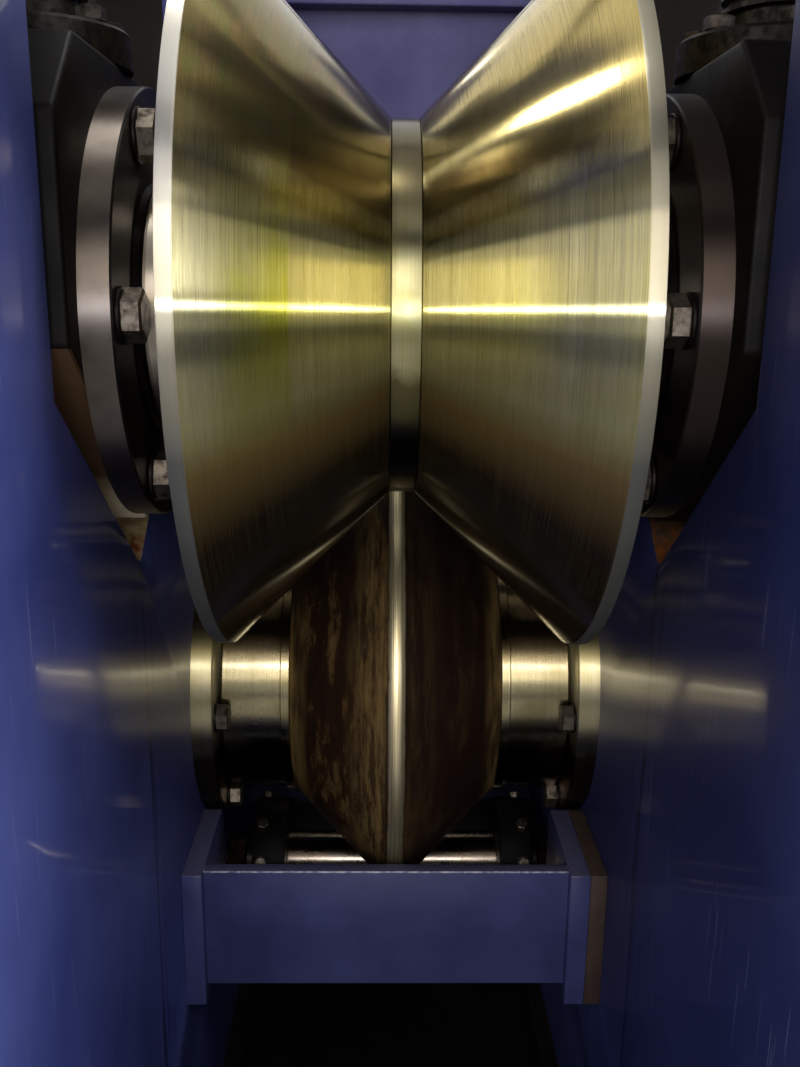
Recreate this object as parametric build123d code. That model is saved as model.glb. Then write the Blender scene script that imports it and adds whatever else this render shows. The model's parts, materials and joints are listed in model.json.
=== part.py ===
from build123d import *
import math
import os

# Straightening machine for steel angles: staggered rolls, each carried at both ends,
# between two thick side frames. +Z is up, X lies along the roll axes and the angle
# runs along +Y. The origin is on the floor under the middle. All sizes in millimetres.

os.makedirs("parts", exist_ok=True)

# Rolls along the pass line
UPPER_COUNT = 4
PITCH = 800.0
END_REACH = 500.0
PASS_HEIGHT = 1042.0
NIP_GAP = 45.0

# Upper rolls: two cone halves with a spacer ring between them form the V groove
CONE_ANGLE = 45.0
UPPER_RADIUS = 300.0
UPPER_RIM = 10.5
UPPER_HALF_WIDTH = 159.0
SPACER_WIDTH = 24.0
SPACER_STEP = 0.5
UPPER_JOURNAL_RADIUS = 80.0
HUB_RADIUS = 113.0

# Lower rolls: two cone halves and a rounded nose ring between them
NOSE_RADIUS = 292.0
NOSE_WIDTH = 21.0
NOSE_STEP = 3.0
LOWER_HALF_WIDTH = 132.0
LOWER_JOURNAL_RADIUS = 90.0
CLAMP_RING_WIDTH = 12.0
CLAMP_RING_RADIUS = 169.0
COLLAR_RADIUS = 164.0

# Shafts: the drive ends stand out on the +X side, past a seal land in the outer covers
DRIVE_END_RADIUS = 60.0
DRIVE_END_REACH = 560.0
DRIVE_END_CHAMFER = 4.0
SEAL_LAND_RADIUS = 66.0
SEAL_LAND_PROUD = 15.0
KEY_WIDTH = 32.0
KEY_DEPTH = 11.0
KEY_LENGTH = 110.0
KEY_ANGLE = 36.0
RUN_CLEAR = 5.0
BORE_CLEAR = 0.3

# Side frames, with a window open to the top for each upper roll
WALL_GAP = 500.0
WALL = 120.0
FRAME_CHAMFER = 150.0
WINDOW_HALF = 220.0
JAMB_DROP = 58.0
TIP_DROP = 240.0
TIP_ROUND = 14.0
HEAD_CLEAR = 40.0

# Travel of the upper rolls from rest
LIFT_UP = 90.0

# Upper chocks
CHOCK_SIDE_CLEAR = 10.0
CHOCK_TIP_CLEAR = 45.0
CHOCK_RISE = 200.0
CHOCK_SHOULDER = 60.0
CHOCK_PROUD = 10.0
COVER_RADIUS = 185.0
COVER_THICK = 25.0
COVER_LIP = 2.0
END_COVER_RADIUS = 165.0
END_COVER_THICK = 25.0

# Lower bearing housings, put in from inside and covered outside
HOUSING_FLANGE_RADIUS = 195.0
HOUSING_FLANGE_THICK = 27.0
HOUSING_BARREL_RADIUS = 150.0
LOWER_COVER_RADIUS = 190.0
LOWER_COVER_THICK = 28.0

# Screw-down above each chock: screw, gear box and cross shaft on a cap plate
CAP_THICK = 80.0
CAP_SEAT = 45.0
CAP_OVERHANG = 40.0
SCREW_RADIUS = 40.0
SCREW_FOOT_RADIUS = 75.0
SCREW_FOOT_THICK = 30.0
SCREW_TOP_REACH = 45.0
CAP_HOLE_CLEAR = 6.0
BOX_WIDTH = 190.0
BOX_DEPTH = 230.0
BOX_HEIGHT = 180.0
BOX_CHAMFER = 18.0
BOSS_RADIUS = 70.0
BOSS_HEIGHT = 30.0
WORM_OFFSET = 95.0
WORM_BARREL_RADIUS = 48.0
WORM_BARREL_OVERHANG = 20.0
CROSS_SHAFT_RADIUS = 18.0
HAND_END_LENGTH = 60.0

# Tie beams and end bars between the side frames
UPPER_BEAM_DROP = 100.0
UPPER_BEAM_DEPTH = 120.0
UPPER_BEAM_HEIGHT = 150.0
UPPER_FLANGE_WIDTH = 170.0
UPPER_FLANGE_THICK = 24.0
END_BAR_INSET = 100.0
END_BAR_DROP = 130.0
END_BAR_RADIUS = 45.0
LOWER_BEAM_TOP = 390.0
LOWER_BEAM_SIZE = 200.0
LOWER_BEAM_FLANGE = 22.0
LOWER_BEAM_WEB = 14.0
LOWER_END_INSET = 130.0

# Cross plate, cheeks and packing plate in front of each lower roll
PLATE_AHEAD = 280.0
PLATE_THICK = 16.0
PLATE_TOP_DROP = 148.0
PLATE_HEIGHT = 153.0
CHEEK_THICK = 24.0
CHEEK_AHEAD = 290.0
CHEEK_LENGTH = 166.0
CHEEK_HEIGHT = 175.0
PACKING_THICK = 20.0
CHEEK_NOTCH_CLEAR = 6.0

# Tie bar under each lower roll
BAR_BEHIND = 54.0
BAR_DROP = 338.0
BAR_RADIUS = 43.0
BAR_BLOCK_RADIUS = 92.0
BAR_BLOCK_INNER = 157.0
BAR_BLOCK_OUTER = 205.0
BAR_ROD_RADIUS = 26.0
BAR_NUT_RADIUS = 42.0
BAR_NUT_THICK = 27.0

# Base: cross sleepers on the floor, two rails on them and a trough between the rails
SLEEPER_REACH = 580.0
SLEEPER_WIDTH = 200.0
SLEEPER_HEIGHT = 60.0
RAIL_HEIGHT = 80.0
RAIL_OVERHANG = 15.0
ANCHOR_RADIUS = 17.0
ANCHOR_INSET = 40.0
TROUGH_WALL = 10.0

# Heights and places that follow from the sizes above
WALL_IN = WALL_GAP / 2
WALL_OUT = WALL_IN + WALL
WALL_MID = WALL_IN + WALL / 2
FRAME_BOTTOM = SLEEPER_HEIGHT + RAIL_HEIGHT
slope = math.tan(math.radians(CONE_ANGLE))
upper_cone_small = UPPER_RADIUS - (UPPER_HALF_WIDTH - UPPER_RIM - SPACER_WIDTH / 2) * slope
spacer_radius = upper_cone_small - SPACER_STEP
lower_cone_large = NOSE_RADIUS - NOSE_STEP
lower_shoulder = lower_cone_large - (LOWER_HALF_WIDTH - NOSE_WIDTH / 2) * slope
LOWER_Z = PASS_HEIGHT - NOSE_RADIUS
UPPER_Z = PASS_HEIGHT + NIP_GAP + spacer_radius
FRAME_TOP = UPPER_Z + max(UPPER_RADIUS, CHOCK_RISE) + LIFT_UP + HEAD_CLEAR
FRAME_HALF = (UPPER_COUNT - 1) * PITCH / 2 + END_REACH
upper_ys = [(i - (UPPER_COUNT - 1) / 2) * PITCH for i in range(UPPER_COUNT)]
lower_ys = [(a + b) / 2 for a, b in zip(upper_ys, upper_ys[1:])]
inner_upper_ys = upper_ys[1:-1]

# Along X, on one side of the middle
chock_in = WALL_IN - CHOCK_PROUD
chock_out = WALL_OUT + CHOCK_PROUD
cover_in = chock_in - COVER_THICK
end_cover_out = chock_out + END_COVER_THICK
housing_in = WALL_IN - HOUSING_FLANGE_THICK
lower_cover_out = WALL_OUT + LOWER_COVER_THICK
seal_land_end = end_cover_out + SEAL_LAND_PROUD
CAP_TOP = FRAME_TOP + CAP_THICK
BOX_TOP = CAP_TOP + BOX_HEIGHT
chock_top = UPPER_Z + CHOCK_RISE
worm_z = CAP_TOP + BOX_HEIGHT / 2


def save(name, *solids):
    """Writes one named piece, or several like pieces that share a name."""
    found = [one for shape in solids for one in shape.solids()]
    export_step(found[0] if len(found) == 1 else Compound(children=found), f"parts/{name}.step")


def turned(points):
    """A solid turned about the X axis from its half outline of (x, radius) points."""
    return revolve(make_face(Polyline(*points, close=True)), Axis.X, 360)


def both_sides(shape):
    """The shape and its mirror image on the other side of the middle."""
    return [shape, mirror(shape, about=Plane.YZ)]


def cut_across(outline, x_low, x_high):
    """A plate between two places along X, from an outline of (y, z) points."""
    face = make_face(Plane.YZ.offset(x_low) * Polyline(*outline, close=True))
    return extrude(face, x_high - x_low, dir=(1, 0, 0))


def rod_x(radius, x_low, x_high, y, z):
    """A round bar along X."""
    return Pos((x_low + x_high) / 2, y, z) * Rot(0, 90, 0) * Cylinder(radius, x_high - x_low)


def block(x_low, x_high, y_low, y_high, z_low, z_high):
    """A rectangular block between two corners."""
    middle = Pos((x_low + x_high) / 2, (y_low + y_high) / 2, (z_low + z_high) / 2)
    return middle * Box(x_high - x_low, y_high - y_low, z_high - z_low)


def drive_end(journal_end):
    """Outline points of a shaft past its journal: the seal land and the chamfered drive end."""
    return [
        (journal_end, SEAL_LAND_RADIUS),
        (seal_land_end, SEAL_LAND_RADIUS),
        (seal_land_end, DRIVE_END_RADIUS),
        (DRIVE_END_REACH - DRIVE_END_CHAMFER, DRIVE_END_RADIUS),
        (DRIVE_END_REACH, DRIVE_END_RADIUS - DRIVE_END_CHAMFER),
        (DRIVE_END_REACH, 0),
    ]


def keyed(shaft):
    """Cuts the key seat in a shaft's drive end."""
    key = block(
        DRIVE_END_REACH - KEY_LENGTH,
        DRIVE_END_REACH + 1,
        -KEY_WIDTH / 2,
        KEY_WIDTH / 2,
        DRIVE_END_RADIUS - KEY_DEPTH,
        DRIVE_END_RADIUS + 1,
    )
    return shaft - Rot(KEY_ANGLE, 0, 0) * key


def upper_cone():
    """Right half of an upper roll: a cone with a narrow cylindrical rim, bored for the shaft."""
    small_x = SPACER_WIDTH / 2
    rim_x = UPPER_HALF_WIDTH - UPPER_RIM
    return turned([
        (small_x, UPPER_JOURNAL_RADIUS),
        (small_x, upper_cone_small),
        (rim_x, UPPER_RADIUS),
        (UPPER_HALF_WIDTH, UPPER_RADIUS),
        (UPPER_HALF_WIDTH, UPPER_JOURNAL_RADIUS),
    ])


def upper_spacer():
    """The ring that keeps the two halves of the groove apart."""
    half = SPACER_WIDTH / 2
    return turned([
        (-half, UPPER_JOURNAL_RADIUS),
        (-half, spacer_radius),
        (half, spacer_radius),
        (half, UPPER_JOURNAL_RADIUS),
    ])


def upper_shaft():
    """Upper shaft with the collars that clamp the roll, and a keyed drive end."""
    hub_end = cover_in - RUN_CLEAR
    journal_end = chock_out - RUN_CLEAR
    return keyed(turned([
        (-journal_end, 0),
        (-journal_end, UPPER_JOURNAL_RADIUS),
        (-hub_end, UPPER_JOURNAL_RADIUS),
        (-hub_end, HUB_RADIUS),
        (-UPPER_HALF_WIDTH, HUB_RADIUS),
        (-UPPER_HALF_WIDTH, UPPER_JOURNAL_RADIUS),
        (UPPER_HALF_WIDTH, UPPER_JOURNAL_RADIUS),
        (UPPER_HALF_WIDTH, HUB_RADIUS),
        (hub_end, HUB_RADIUS),
        (hub_end, UPPER_JOURNAL_RADIUS),
        (journal_end, UPPER_JOURNAL_RADIUS),
        *drive_end(journal_end),
    ]))


def lower_cone():
    """Right half of a lower roll, bored for the shaft."""
    large_x = NOSE_WIDTH / 2
    return turned([
        (large_x, LOWER_JOURNAL_RADIUS),
        (large_x, lower_cone_large),
        (LOWER_HALF_WIDTH, lower_shoulder),
        (LOWER_HALF_WIDTH, LOWER_JOURNAL_RADIUS),
    ])


def lower_nose():
    """The ring with a rounded edge that presses into the corner of the angle."""
    half = NOSE_WIDTH / 2
    outline = Polyline(
        (half, lower_cone_large),
        (half, LOWER_JOURNAL_RADIUS),
        (-half, LOWER_JOURNAL_RADIUS),
        (-half, lower_cone_large),
    )
    crown = ThreePointArc((-half, lower_cone_large), (0, NOSE_RADIUS), (half, lower_cone_large))
    return revolve(make_face([outline, crown]), Axis.X, 360)


def lower_shaft():
    """Lower shaft with its wide collars, the clamp rings beside the roll and a keyed end."""
    ring_end = LOWER_HALF_WIDTH + CLAMP_RING_WIDTH
    collar_end = housing_in - RUN_CLEAR
    journal_end = WALL_OUT - RUN_CLEAR
    return keyed(turned([
        (-journal_end, 0),
        (-journal_end, LOWER_JOURNAL_RADIUS),
        (-collar_end, LOWER_JOURNAL_RADIUS),
        (-collar_end, COLLAR_RADIUS),
        (-ring_end, COLLAR_RADIUS),
        (-ring_end, CLAMP_RING_RADIUS),
        (-LOWER_HALF_WIDTH, CLAMP_RING_RADIUS),
        (-LOWER_HALF_WIDTH, LOWER_JOURNAL_RADIUS),
        (LOWER_HALF_WIDTH, LOWER_JOURNAL_RADIUS),
        (LOWER_HALF_WIDTH, CLAMP_RING_RADIUS),
        (ring_end, CLAMP_RING_RADIUS),
        (ring_end, COLLAR_RADIUS),
        (collar_end, COLLAR_RADIUS),
        (collar_end, LOWER_JOURNAL_RADIUS),
        (journal_end, LOWER_JOURNAL_RADIUS),
        *drive_end(journal_end),
    ]))


def window_slope_z(y):
    """Height of the sloping window edge over the axis of the roll, at a distance from it."""
    return -TIP_DROP + (TIP_DROP - JAMB_DROP) * abs(y) / WINDOW_HALF


def chock(outer_bore):
    """Right chock, round its own roll axis, with its inner cover and outer end cover."""
    half = WINDOW_HALF - CHOCK_SIDE_CLEAR
    outline = [
        (0, window_slope_z(0) + CHOCK_TIP_CLEAR),
        (half, window_slope_z(half) + CHOCK_TIP_CLEAR),
        (half, CHOCK_RISE - CHOCK_SHOULDER),
        (half - CHOCK_SHOULDER, CHOCK_RISE),
        (CHOCK_SHOULDER - half, CHOCK_RISE),
        (-half, CHOCK_RISE - CHOCK_SHOULDER),
        (-half, window_slope_z(half) + CHOCK_TIP_CLEAR),
    ]
    body = cut_across(outline, chock_in, chock_out)
    cover = turned([
        (cover_in, 0),
        (cover_in, COVER_RADIUS - COVER_LIP),
        (cover_in + COVER_LIP, COVER_RADIUS),
        (chock_in, COVER_RADIUS),
        (chock_in, 0),
    ])
    end_cover = rod_x(END_COVER_RADIUS, chock_out, end_cover_out, 0, 0)
    solid = body + cover + end_cover
    solid -= rod_x(UPPER_JOURNAL_RADIUS + BORE_CLEAR, cover_in - 1, chock_out, 0, 0)
    if outer_bore:
        solid -= rod_x(SEAL_LAND_RADIUS + BORE_CLEAR, chock_out - 1, end_cover_out + 1, 0, 0)
    return solid


def lifting_screw():
    """Right screw of a pair, with the round foot that is bolted to the top of the chock."""
    top = BOX_TOP + BOSS_HEIGHT + SCREW_TOP_REACH
    foot = Pos(WALL_MID, 0, chock_top + SCREW_FOOT_THICK / 2) * Cylinder(SCREW_FOOT_RADIUS, SCREW_FOOT_THICK)
    stem_low = chock_top + SCREW_FOOT_THICK
    stem = Pos(WALL_MID, 0, (stem_low + top) / 2) * Cylinder(SCREW_RADIUS, top - stem_low)
    return foot + stem


def side_frame():
    """Right side frame: one thick plate with V-bottomed windows and bearing bores."""
    outline = [
        (-FRAME_HALF, FRAME_BOTTOM),
        (FRAME_HALF, FRAME_BOTTOM),
        (FRAME_HALF, FRAME_TOP - FRAME_CHAMFER),
        (FRAME_HALF - FRAME_CHAMFER, FRAME_TOP),
        (FRAME_CHAMFER - FRAME_HALF, FRAME_TOP),
        (-FRAME_HALF, FRAME_TOP - FRAME_CHAMFER),
    ]
    plate = cut_across(outline, WALL_IN, WALL_OUT)
    for y in upper_ys:
        window = make_face(Plane.YZ.offset(WALL_IN) * Polyline(
            (y, UPPER_Z - TIP_DROP),
            (y + WINDOW_HALF, UPPER_Z - JAMB_DROP),
            (y + WINDOW_HALF, FRAME_TOP + 1),
            (y - WINDOW_HALF, FRAME_TOP + 1),
            (y - WINDOW_HALF, UPPER_Z - JAMB_DROP),
            close=True,
        ))
        window = fillet(window.vertices().sort_by(Axis.Z)[0], TIP_ROUND)
        plate -= extrude(window, WALL, dir=(1, 0, 0))
    for y in lower_ys:
        plate -= rod_x(HOUSING_BARREL_RADIUS + BORE_CLEAR, WALL_IN - 1, WALL_OUT + 1, y, LOWER_Z)
    return plate


def bearing_housing():
    """Right lower bearing housing round its own axis: flange inside, barrel in the frame."""
    return turned([
        (housing_in, LOWER_JOURNAL_RADIUS + BORE_CLEAR),
        (housing_in, HOUSING_FLANGE_RADIUS),
        (WALL_IN, HOUSING_FLANGE_RADIUS),
        (WALL_IN, HOUSING_BARREL_RADIUS),
        (WALL_OUT, HOUSING_BARREL_RADIUS),
        (WALL_OUT, LOWER_JOURNAL_RADIUS + BORE_CLEAR),
    ])


def lower_end_cover(inner_radius):
    """Right outer cover of a lower bearing, bored for the drive end or closed."""
    return turned([
        (WALL_OUT, inner_radius),
        (WALL_OUT, LOWER_COVER_RADIUS),
        (lower_cover_out, LOWER_COVER_RADIUS),
        (lower_cover_out, inner_radius),
    ])


def cap_plate(y):
    """Plate that closes the top of one window in the right frame, with the hole that its screw rises through."""
    half = WINDOW_HALF + CAP_SEAT
    plate = block(WALL_IN - CAP_OVERHANG, WALL_OUT + CAP_OVERHANG, y - half, y + half, FRAME_TOP, CAP_TOP)
    hole = Pos(WALL_MID, y, (FRAME_TOP + CAP_TOP) / 2) * Cylinder(SCREW_RADIUS + CAP_HOLE_CLEAR, CAP_THICK + 2)
    return plate - hole


def screw_box(y):
    """Right gear box of one screw pair, with the barrel of its worm along X."""
    body = Pos(WALL_MID, y, CAP_TOP + BOX_HEIGHT / 2) * Box(BOX_WIDTH, BOX_DEPTH, BOX_HEIGHT)
    body = chamfer(body.faces().sort_by(Axis.Z)[-1].edges(), BOX_CHAMFER)
    boss = Pos(WALL_MID, y, BOX_TOP + BOSS_HEIGHT / 2) * Cylinder(BOSS_RADIUS, BOSS_HEIGHT)
    barrel_half = BOX_WIDTH / 2 + WORM_BARREL_OVERHANG
    barrel = rod_x(WORM_BARREL_RADIUS, WALL_MID - barrel_half, WALL_MID + barrel_half, y + WORM_OFFSET, worm_z)
    solid = body + boss + barrel
    bore_height = BOX_HEIGHT + BOSS_HEIGHT
    bore = Pos(WALL_MID, y, CAP_TOP + bore_height / 2) * Cylinder(SCREW_RADIUS + BORE_CLEAR, bore_height + 2)
    return solid - bore


def cross_shaft(y):
    """Shaft between the two worms of a pair, and the end for a crank on the outer left."""
    inner = WALL_MID - BOX_WIDTH / 2 - WORM_BARREL_OVERHANG
    outer = WALL_MID + BOX_WIDTH / 2 + WORM_BARREL_OVERHANG
    middle = rod_x(CROSS_SHAFT_RADIUS, -inner, inner, y + WORM_OFFSET, worm_z)
    hand_end = rod_x(CROSS_SHAFT_RADIUS, -outer - HAND_END_LENGTH, -outer, y + WORM_OFFSET, worm_z)
    return [middle, hand_end]


def upper_tie_beam(y):
    """Box beam high between the side frames, with a wider flange on its top."""
    top = FRAME_TOP - UPPER_BEAM_DROP
    web = block(
        -WALL_IN, WALL_IN,
        y - UPPER_BEAM_DEPTH / 2, y + UPPER_BEAM_DEPTH / 2,
        top - UPPER_BEAM_HEIGHT, top,
    )
    flange = block(
        -WALL_IN, WALL_IN,
        y - UPPER_FLANGE_WIDTH / 2, y + UPPER_FLANGE_WIDTH / 2,
        top, top + UPPER_FLANGE_THICK,
    )
    return web + flange


def lower_tie_beam(y):
    """Wide-flanged rolled beam low between the side frames."""
    half = LOWER_BEAM_SIZE / 2
    web = LOWER_BEAM_WEB / 2
    top = LOWER_BEAM_TOP
    low = top - LOWER_BEAM_SIZE
    outline = [
        (y - half, low),
        (y + half, low),
        (y + half, low + LOWER_BEAM_FLANGE),
        (y + web, low + LOWER_BEAM_FLANGE),
        (y + web, top - LOWER_BEAM_FLANGE),
        (y + half, top - LOWER_BEAM_FLANGE),
        (y + half, top),
        (y - half, top),
        (y - half, top - LOWER_BEAM_FLANGE),
        (y - web, top - LOWER_BEAM_FLANGE),
        (y - web, low + LOWER_BEAM_FLANGE),
        (y - half, low + LOWER_BEAM_FLANGE),
    ]
    return cut_across(outline, -WALL_IN, WALL_IN)


# The cross plate is clamped between the left cheek, on its wall, and the right cheek,
# which stands off its wall by the packing plate
cheek_top = LOWER_Z - PLATE_TOP_DROP
left_cheek_x = (-WALL_IN, CHEEK_THICK - WALL_IN)
packing_x = (WALL_IN - PACKING_THICK, WALL_IN)
right_cheek_x = (packing_x[0] - CHEEK_THICK, packing_x[0])


def cheek(x_range, y):
    """Plate along a wall, hollowed round the flange of the bearing housing."""
    plate = block(*x_range, y - CHEEK_AHEAD, y - CHEEK_AHEAD + CHEEK_LENGTH, cheek_top - CHEEK_HEIGHT, cheek_top)
    notch = HOUSING_FLANGE_RADIUS + CHEEK_NOTCH_CLEAR
    return plate - rod_x(notch, x_range[0] - 1, x_range[1] + 1, y, LOWER_Z)


def cross_plate(y):
    """Thin upright plate across the machine in front of a lower roll."""
    return block(
        left_cheek_x[1], right_cheek_x[0],
        y - PLATE_AHEAD, y - PLATE_AHEAD + PLATE_THICK,
        cheek_top - PLATE_HEIGHT, cheek_top,
    )


def tie_bar(y):
    """Bright sleeve under a lower roll, and the rods and nuts that hold it to the walls."""
    bar_y, bar_z = y + BAR_BEHIND, LOWER_Z - BAR_DROP
    sleeve = rod_x(BAR_RADIUS, -BAR_BLOCK_INNER, BAR_BLOCK_INNER, bar_y, bar_z)
    nut_x = WALL_IN - BAR_NUT_THICK
    rod = rod_x(BAR_ROD_RADIUS, BAR_BLOCK_OUTER, nut_x, bar_y, bar_z)
    nut = extrude(
        Plane.YZ.offset(nut_x) * Pos(bar_y, bar_z) * RegularPolygon(BAR_NUT_RADIUS, 6),
        BAR_NUT_THICK,
        dir=(1, 0, 0),
    )
    return [sleeve] + both_sides(rod + nut)


def tie_bar_blocks(y):
    """Round black blocks at the ends of the sleeve."""
    bar_y, bar_z = y + BAR_BEHIND, LOWER_Z - BAR_DROP
    return both_sides(rod_x(BAR_BLOCK_RADIUS, BAR_BLOCK_INNER, BAR_BLOCK_OUTER, bar_y, bar_z))


def base_rail():
    """Right rail under a side frame."""
    return block(
        WALL_IN - RAIL_OVERHANG, WALL_OUT + RAIL_OVERHANG,
        -FRAME_HALF, FRAME_HALF,
        SLEEPER_HEIGHT, FRAME_BOTTOM,
    )


def sleeper(y):
    """Cross foot on the floor, with an anchor hole near each end."""
    foot = block(
        -SLEEPER_REACH, SLEEPER_REACH,
        y - SLEEPER_WIDTH / 2, y + SLEEPER_WIDTH / 2,
        0, SLEEPER_HEIGHT,
    )
    hole_x = SLEEPER_REACH - ANCHOR_INSET
    for x in (-hole_x, hole_x):
        foot -= Pos(x, y, SLEEPER_HEIGHT / 2) * Cylinder(ANCHOR_RADIUS, SLEEPER_HEIGHT + 2)
    return foot


def trough():
    """Open trough between the rails that catches scale and oil."""
    half = WALL_IN - RAIL_OVERHANG
    outer = block(-half, half, -FRAME_HALF, FRAME_HALF, SLEEPER_HEIGHT, FRAME_BOTTOM)
    inner = block(
        TROUGH_WALL - half, half - TROUGH_WALL,
        TROUGH_WALL - FRAME_HALF, FRAME_HALF - TROUGH_WALL,
        SLEEPER_HEIGHT + TROUGH_WALL, FRAME_BOTTOM + 1,
    )
    return outer - inner


# Upper rolls and the chocks and screws that carry them
for number, y in enumerate(upper_ys, start=1):
    on_axis = Pos(0, y, UPPER_Z)
    save(f"upper_roll_{number}_cones", *[on_axis * cone for cone in both_sides(upper_cone())])
    save(f"upper_roll_{number}_spacer", on_axis * upper_spacer())
    save(f"upper_roll_{number}_shaft", on_axis * upper_shaft())
    drive_chock = on_axis * chock(True)
    hand_chock = on_axis * mirror(chock(False), about=Plane.YZ)
    save(f"upper_chocks_{number}", drive_chock, hand_chock)
    save(f"lifting_screws_{number}", *[Pos(0, y, 0) * screw for screw in both_sides(lifting_screw())])

# Lower rolls
for number, y in enumerate(lower_ys, start=1):
    on_axis = Pos(0, y, LOWER_Z)
    save(f"lower_roll_{number}_cones", *[on_axis * cone for cone in both_sides(lower_cone())])
    save(f"lower_roll_{number}_nose_ring", on_axis * lower_nose())
    save(f"lower_roll_{number}_shaft", on_axis * lower_shaft())

# Lower bearings
housings = []
end_covers = []
for y in lower_ys:
    on_axis = Pos(0, y, LOWER_Z)
    housings += [on_axis * housing for housing in both_sides(bearing_housing())]
    end_covers.append(on_axis * lower_end_cover(SEAL_LAND_RADIUS + BORE_CLEAR))
    end_covers.append(on_axis * mirror(lower_end_cover(0), about=Plane.YZ))
save("lower_bearing_housings", *housings)
save("lower_end_covers", *end_covers)

# Side frames and what joins them
right_frame = side_frame()
save("side_frame_right", right_frame)
save("side_frame_left", mirror(right_frame, about=Plane.YZ))
save("upper_tie_beams", *[upper_tie_beam(y) for y in lower_ys])
end_bar_y = FRAME_HALF - END_BAR_INSET
end_bar = rod_x(END_BAR_RADIUS, -WALL_IN, WALL_IN, end_bar_y, FRAME_TOP - END_BAR_DROP)
save("end_tie_bars", end_bar, mirror(end_bar, about=Plane.XZ))
lower_beam_ys = [LOWER_END_INSET - FRAME_HALF, *inner_upper_ys, FRAME_HALF - LOWER_END_INSET]
save("lower_tie_beams", *[lower_tie_beam(y) for y in lower_beam_ys])

# Screw-down on top
caps = []
boxes = []
shafts = []
for y in upper_ys:
    caps += both_sides(cap_plate(y))
    boxes += both_sides(screw_box(y))
    shafts += cross_shaft(y)
save("cap_plates", *caps)
save("screw_boxes", *boxes)
save("worm_cross_shafts", *shafts)

# Plates and bars round the lower rolls
save("cross_plates", *[cross_plate(y) for y in lower_ys])
save("plate_cheeks_left", *[cheek(left_cheek_x, y) for y in lower_ys])
save("plate_cheeks_right", *[cheek(right_cheek_x, y) for y in lower_ys])
save("packing_plates", *[cheek(packing_x, y) for y in lower_ys])
bars = []
blocks = []
for y in lower_ys:
    bars += tie_bar(y)
    blocks += tie_bar_blocks(y)
save("tie_bars", *bars)
save("tie_bar_blocks", *blocks)

# Base
save("base_rails", *both_sides(base_rail()))
sleeper_ys = [SLEEPER_WIDTH / 2 - FRAME_HALF, *lower_ys, FRAME_HALF - SLEEPER_WIDTH / 2]
save("base_sleepers", *[sleeper(y) for y in sleeper_ys])
save("scale_trough", trough())
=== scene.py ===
"""Finished surfaces of a straightening machine for steel angles, laid out as an add-on."""

import json
import math
from functools import partial

import bpy
from mathutils import Matrix, Vector


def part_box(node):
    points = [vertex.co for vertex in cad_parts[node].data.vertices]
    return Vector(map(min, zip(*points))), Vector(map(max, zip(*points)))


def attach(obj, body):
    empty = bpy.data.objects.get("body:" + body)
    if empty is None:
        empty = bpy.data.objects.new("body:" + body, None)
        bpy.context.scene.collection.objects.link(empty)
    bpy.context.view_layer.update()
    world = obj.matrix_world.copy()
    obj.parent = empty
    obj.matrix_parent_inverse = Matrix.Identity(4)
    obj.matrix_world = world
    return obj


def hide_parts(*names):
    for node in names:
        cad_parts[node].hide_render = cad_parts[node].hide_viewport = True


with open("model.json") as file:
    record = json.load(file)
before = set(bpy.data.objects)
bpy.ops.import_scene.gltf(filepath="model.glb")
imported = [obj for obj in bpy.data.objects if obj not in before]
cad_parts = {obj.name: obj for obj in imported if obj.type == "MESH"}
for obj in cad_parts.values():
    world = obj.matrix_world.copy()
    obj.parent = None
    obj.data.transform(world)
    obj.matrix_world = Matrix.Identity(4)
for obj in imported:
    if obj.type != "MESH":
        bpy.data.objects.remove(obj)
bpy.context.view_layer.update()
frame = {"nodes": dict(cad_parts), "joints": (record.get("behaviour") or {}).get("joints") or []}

bl_info = {
    "name": "Straightening Machine",
    "version": (1, 0, 0),
    "blender": (4, 5, 0),
    "location": "3D View > Sidebar > Straightener",
    "description": "Builds the finished surfaces of a roll straightener round its packed frame",
    "category": "Object",
}

MM = 0.001
JOINTS = {joint["name"]: joint for joint in frame["joints"]}


def roll_axes(level):
    """Y and Z of the line that each roll of one level turns about, by its number."""
    axes = {}
    while f"{level}_roll_{len(axes) + 1}_turn" in JOINTS:
        axes[len(axes) + 1] = JOINTS[f"{level}_roll_{len(axes) + 1}_turn"]["pos_m"][1:]
    return axes


def reach(node, axis):
    """How far a piece reaches along one axis."""
    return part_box(node)[1][axis]


def half(node, axis):
    """Half of a piece's size along one axis."""
    low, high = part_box(node)
    return (high[axis] - low[axis]) / 2


X, Y, Z = 0, 1, 2
UPPER_AXES = roll_axes("upper")
LOWER_AXES = roll_axes("lower")
PITCH = UPPER_AXES[2][0] - UPPER_AXES[1][0]
WALL_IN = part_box("side_frame_right")[0][X]
WALL_OUT = reach("side_frame_right", X)
WALL_MID = (WALL_IN + WALL_OUT) / 2
CAP_TOP = reach("cap_plates", Z)
DRIVE_END = reach("upper_roll_1_shaft", X)
UPPER_RADIUS = half("upper_roll_1_cones", Z)
CHOCK_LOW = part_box("upper_chocks_1")[0][Z]
LOWER_BEAM_TOP = reach("lower_tie_beams", Z)
CROSS_PLATE_TOP = reach("cross_plates", Z)


# Colours and nodes

def linear(code):
    """An sRGB hex colour as the linear colour that a shader takes."""
    shares = [int(code[i:i + 2], 16) / 255 for i in (1, 3, 5)]
    return (*[s / 12.92 if s <= 0.04045 else ((s + 0.055) / 1.055) ** 2.4 for s in shares], 1.0)


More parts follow.
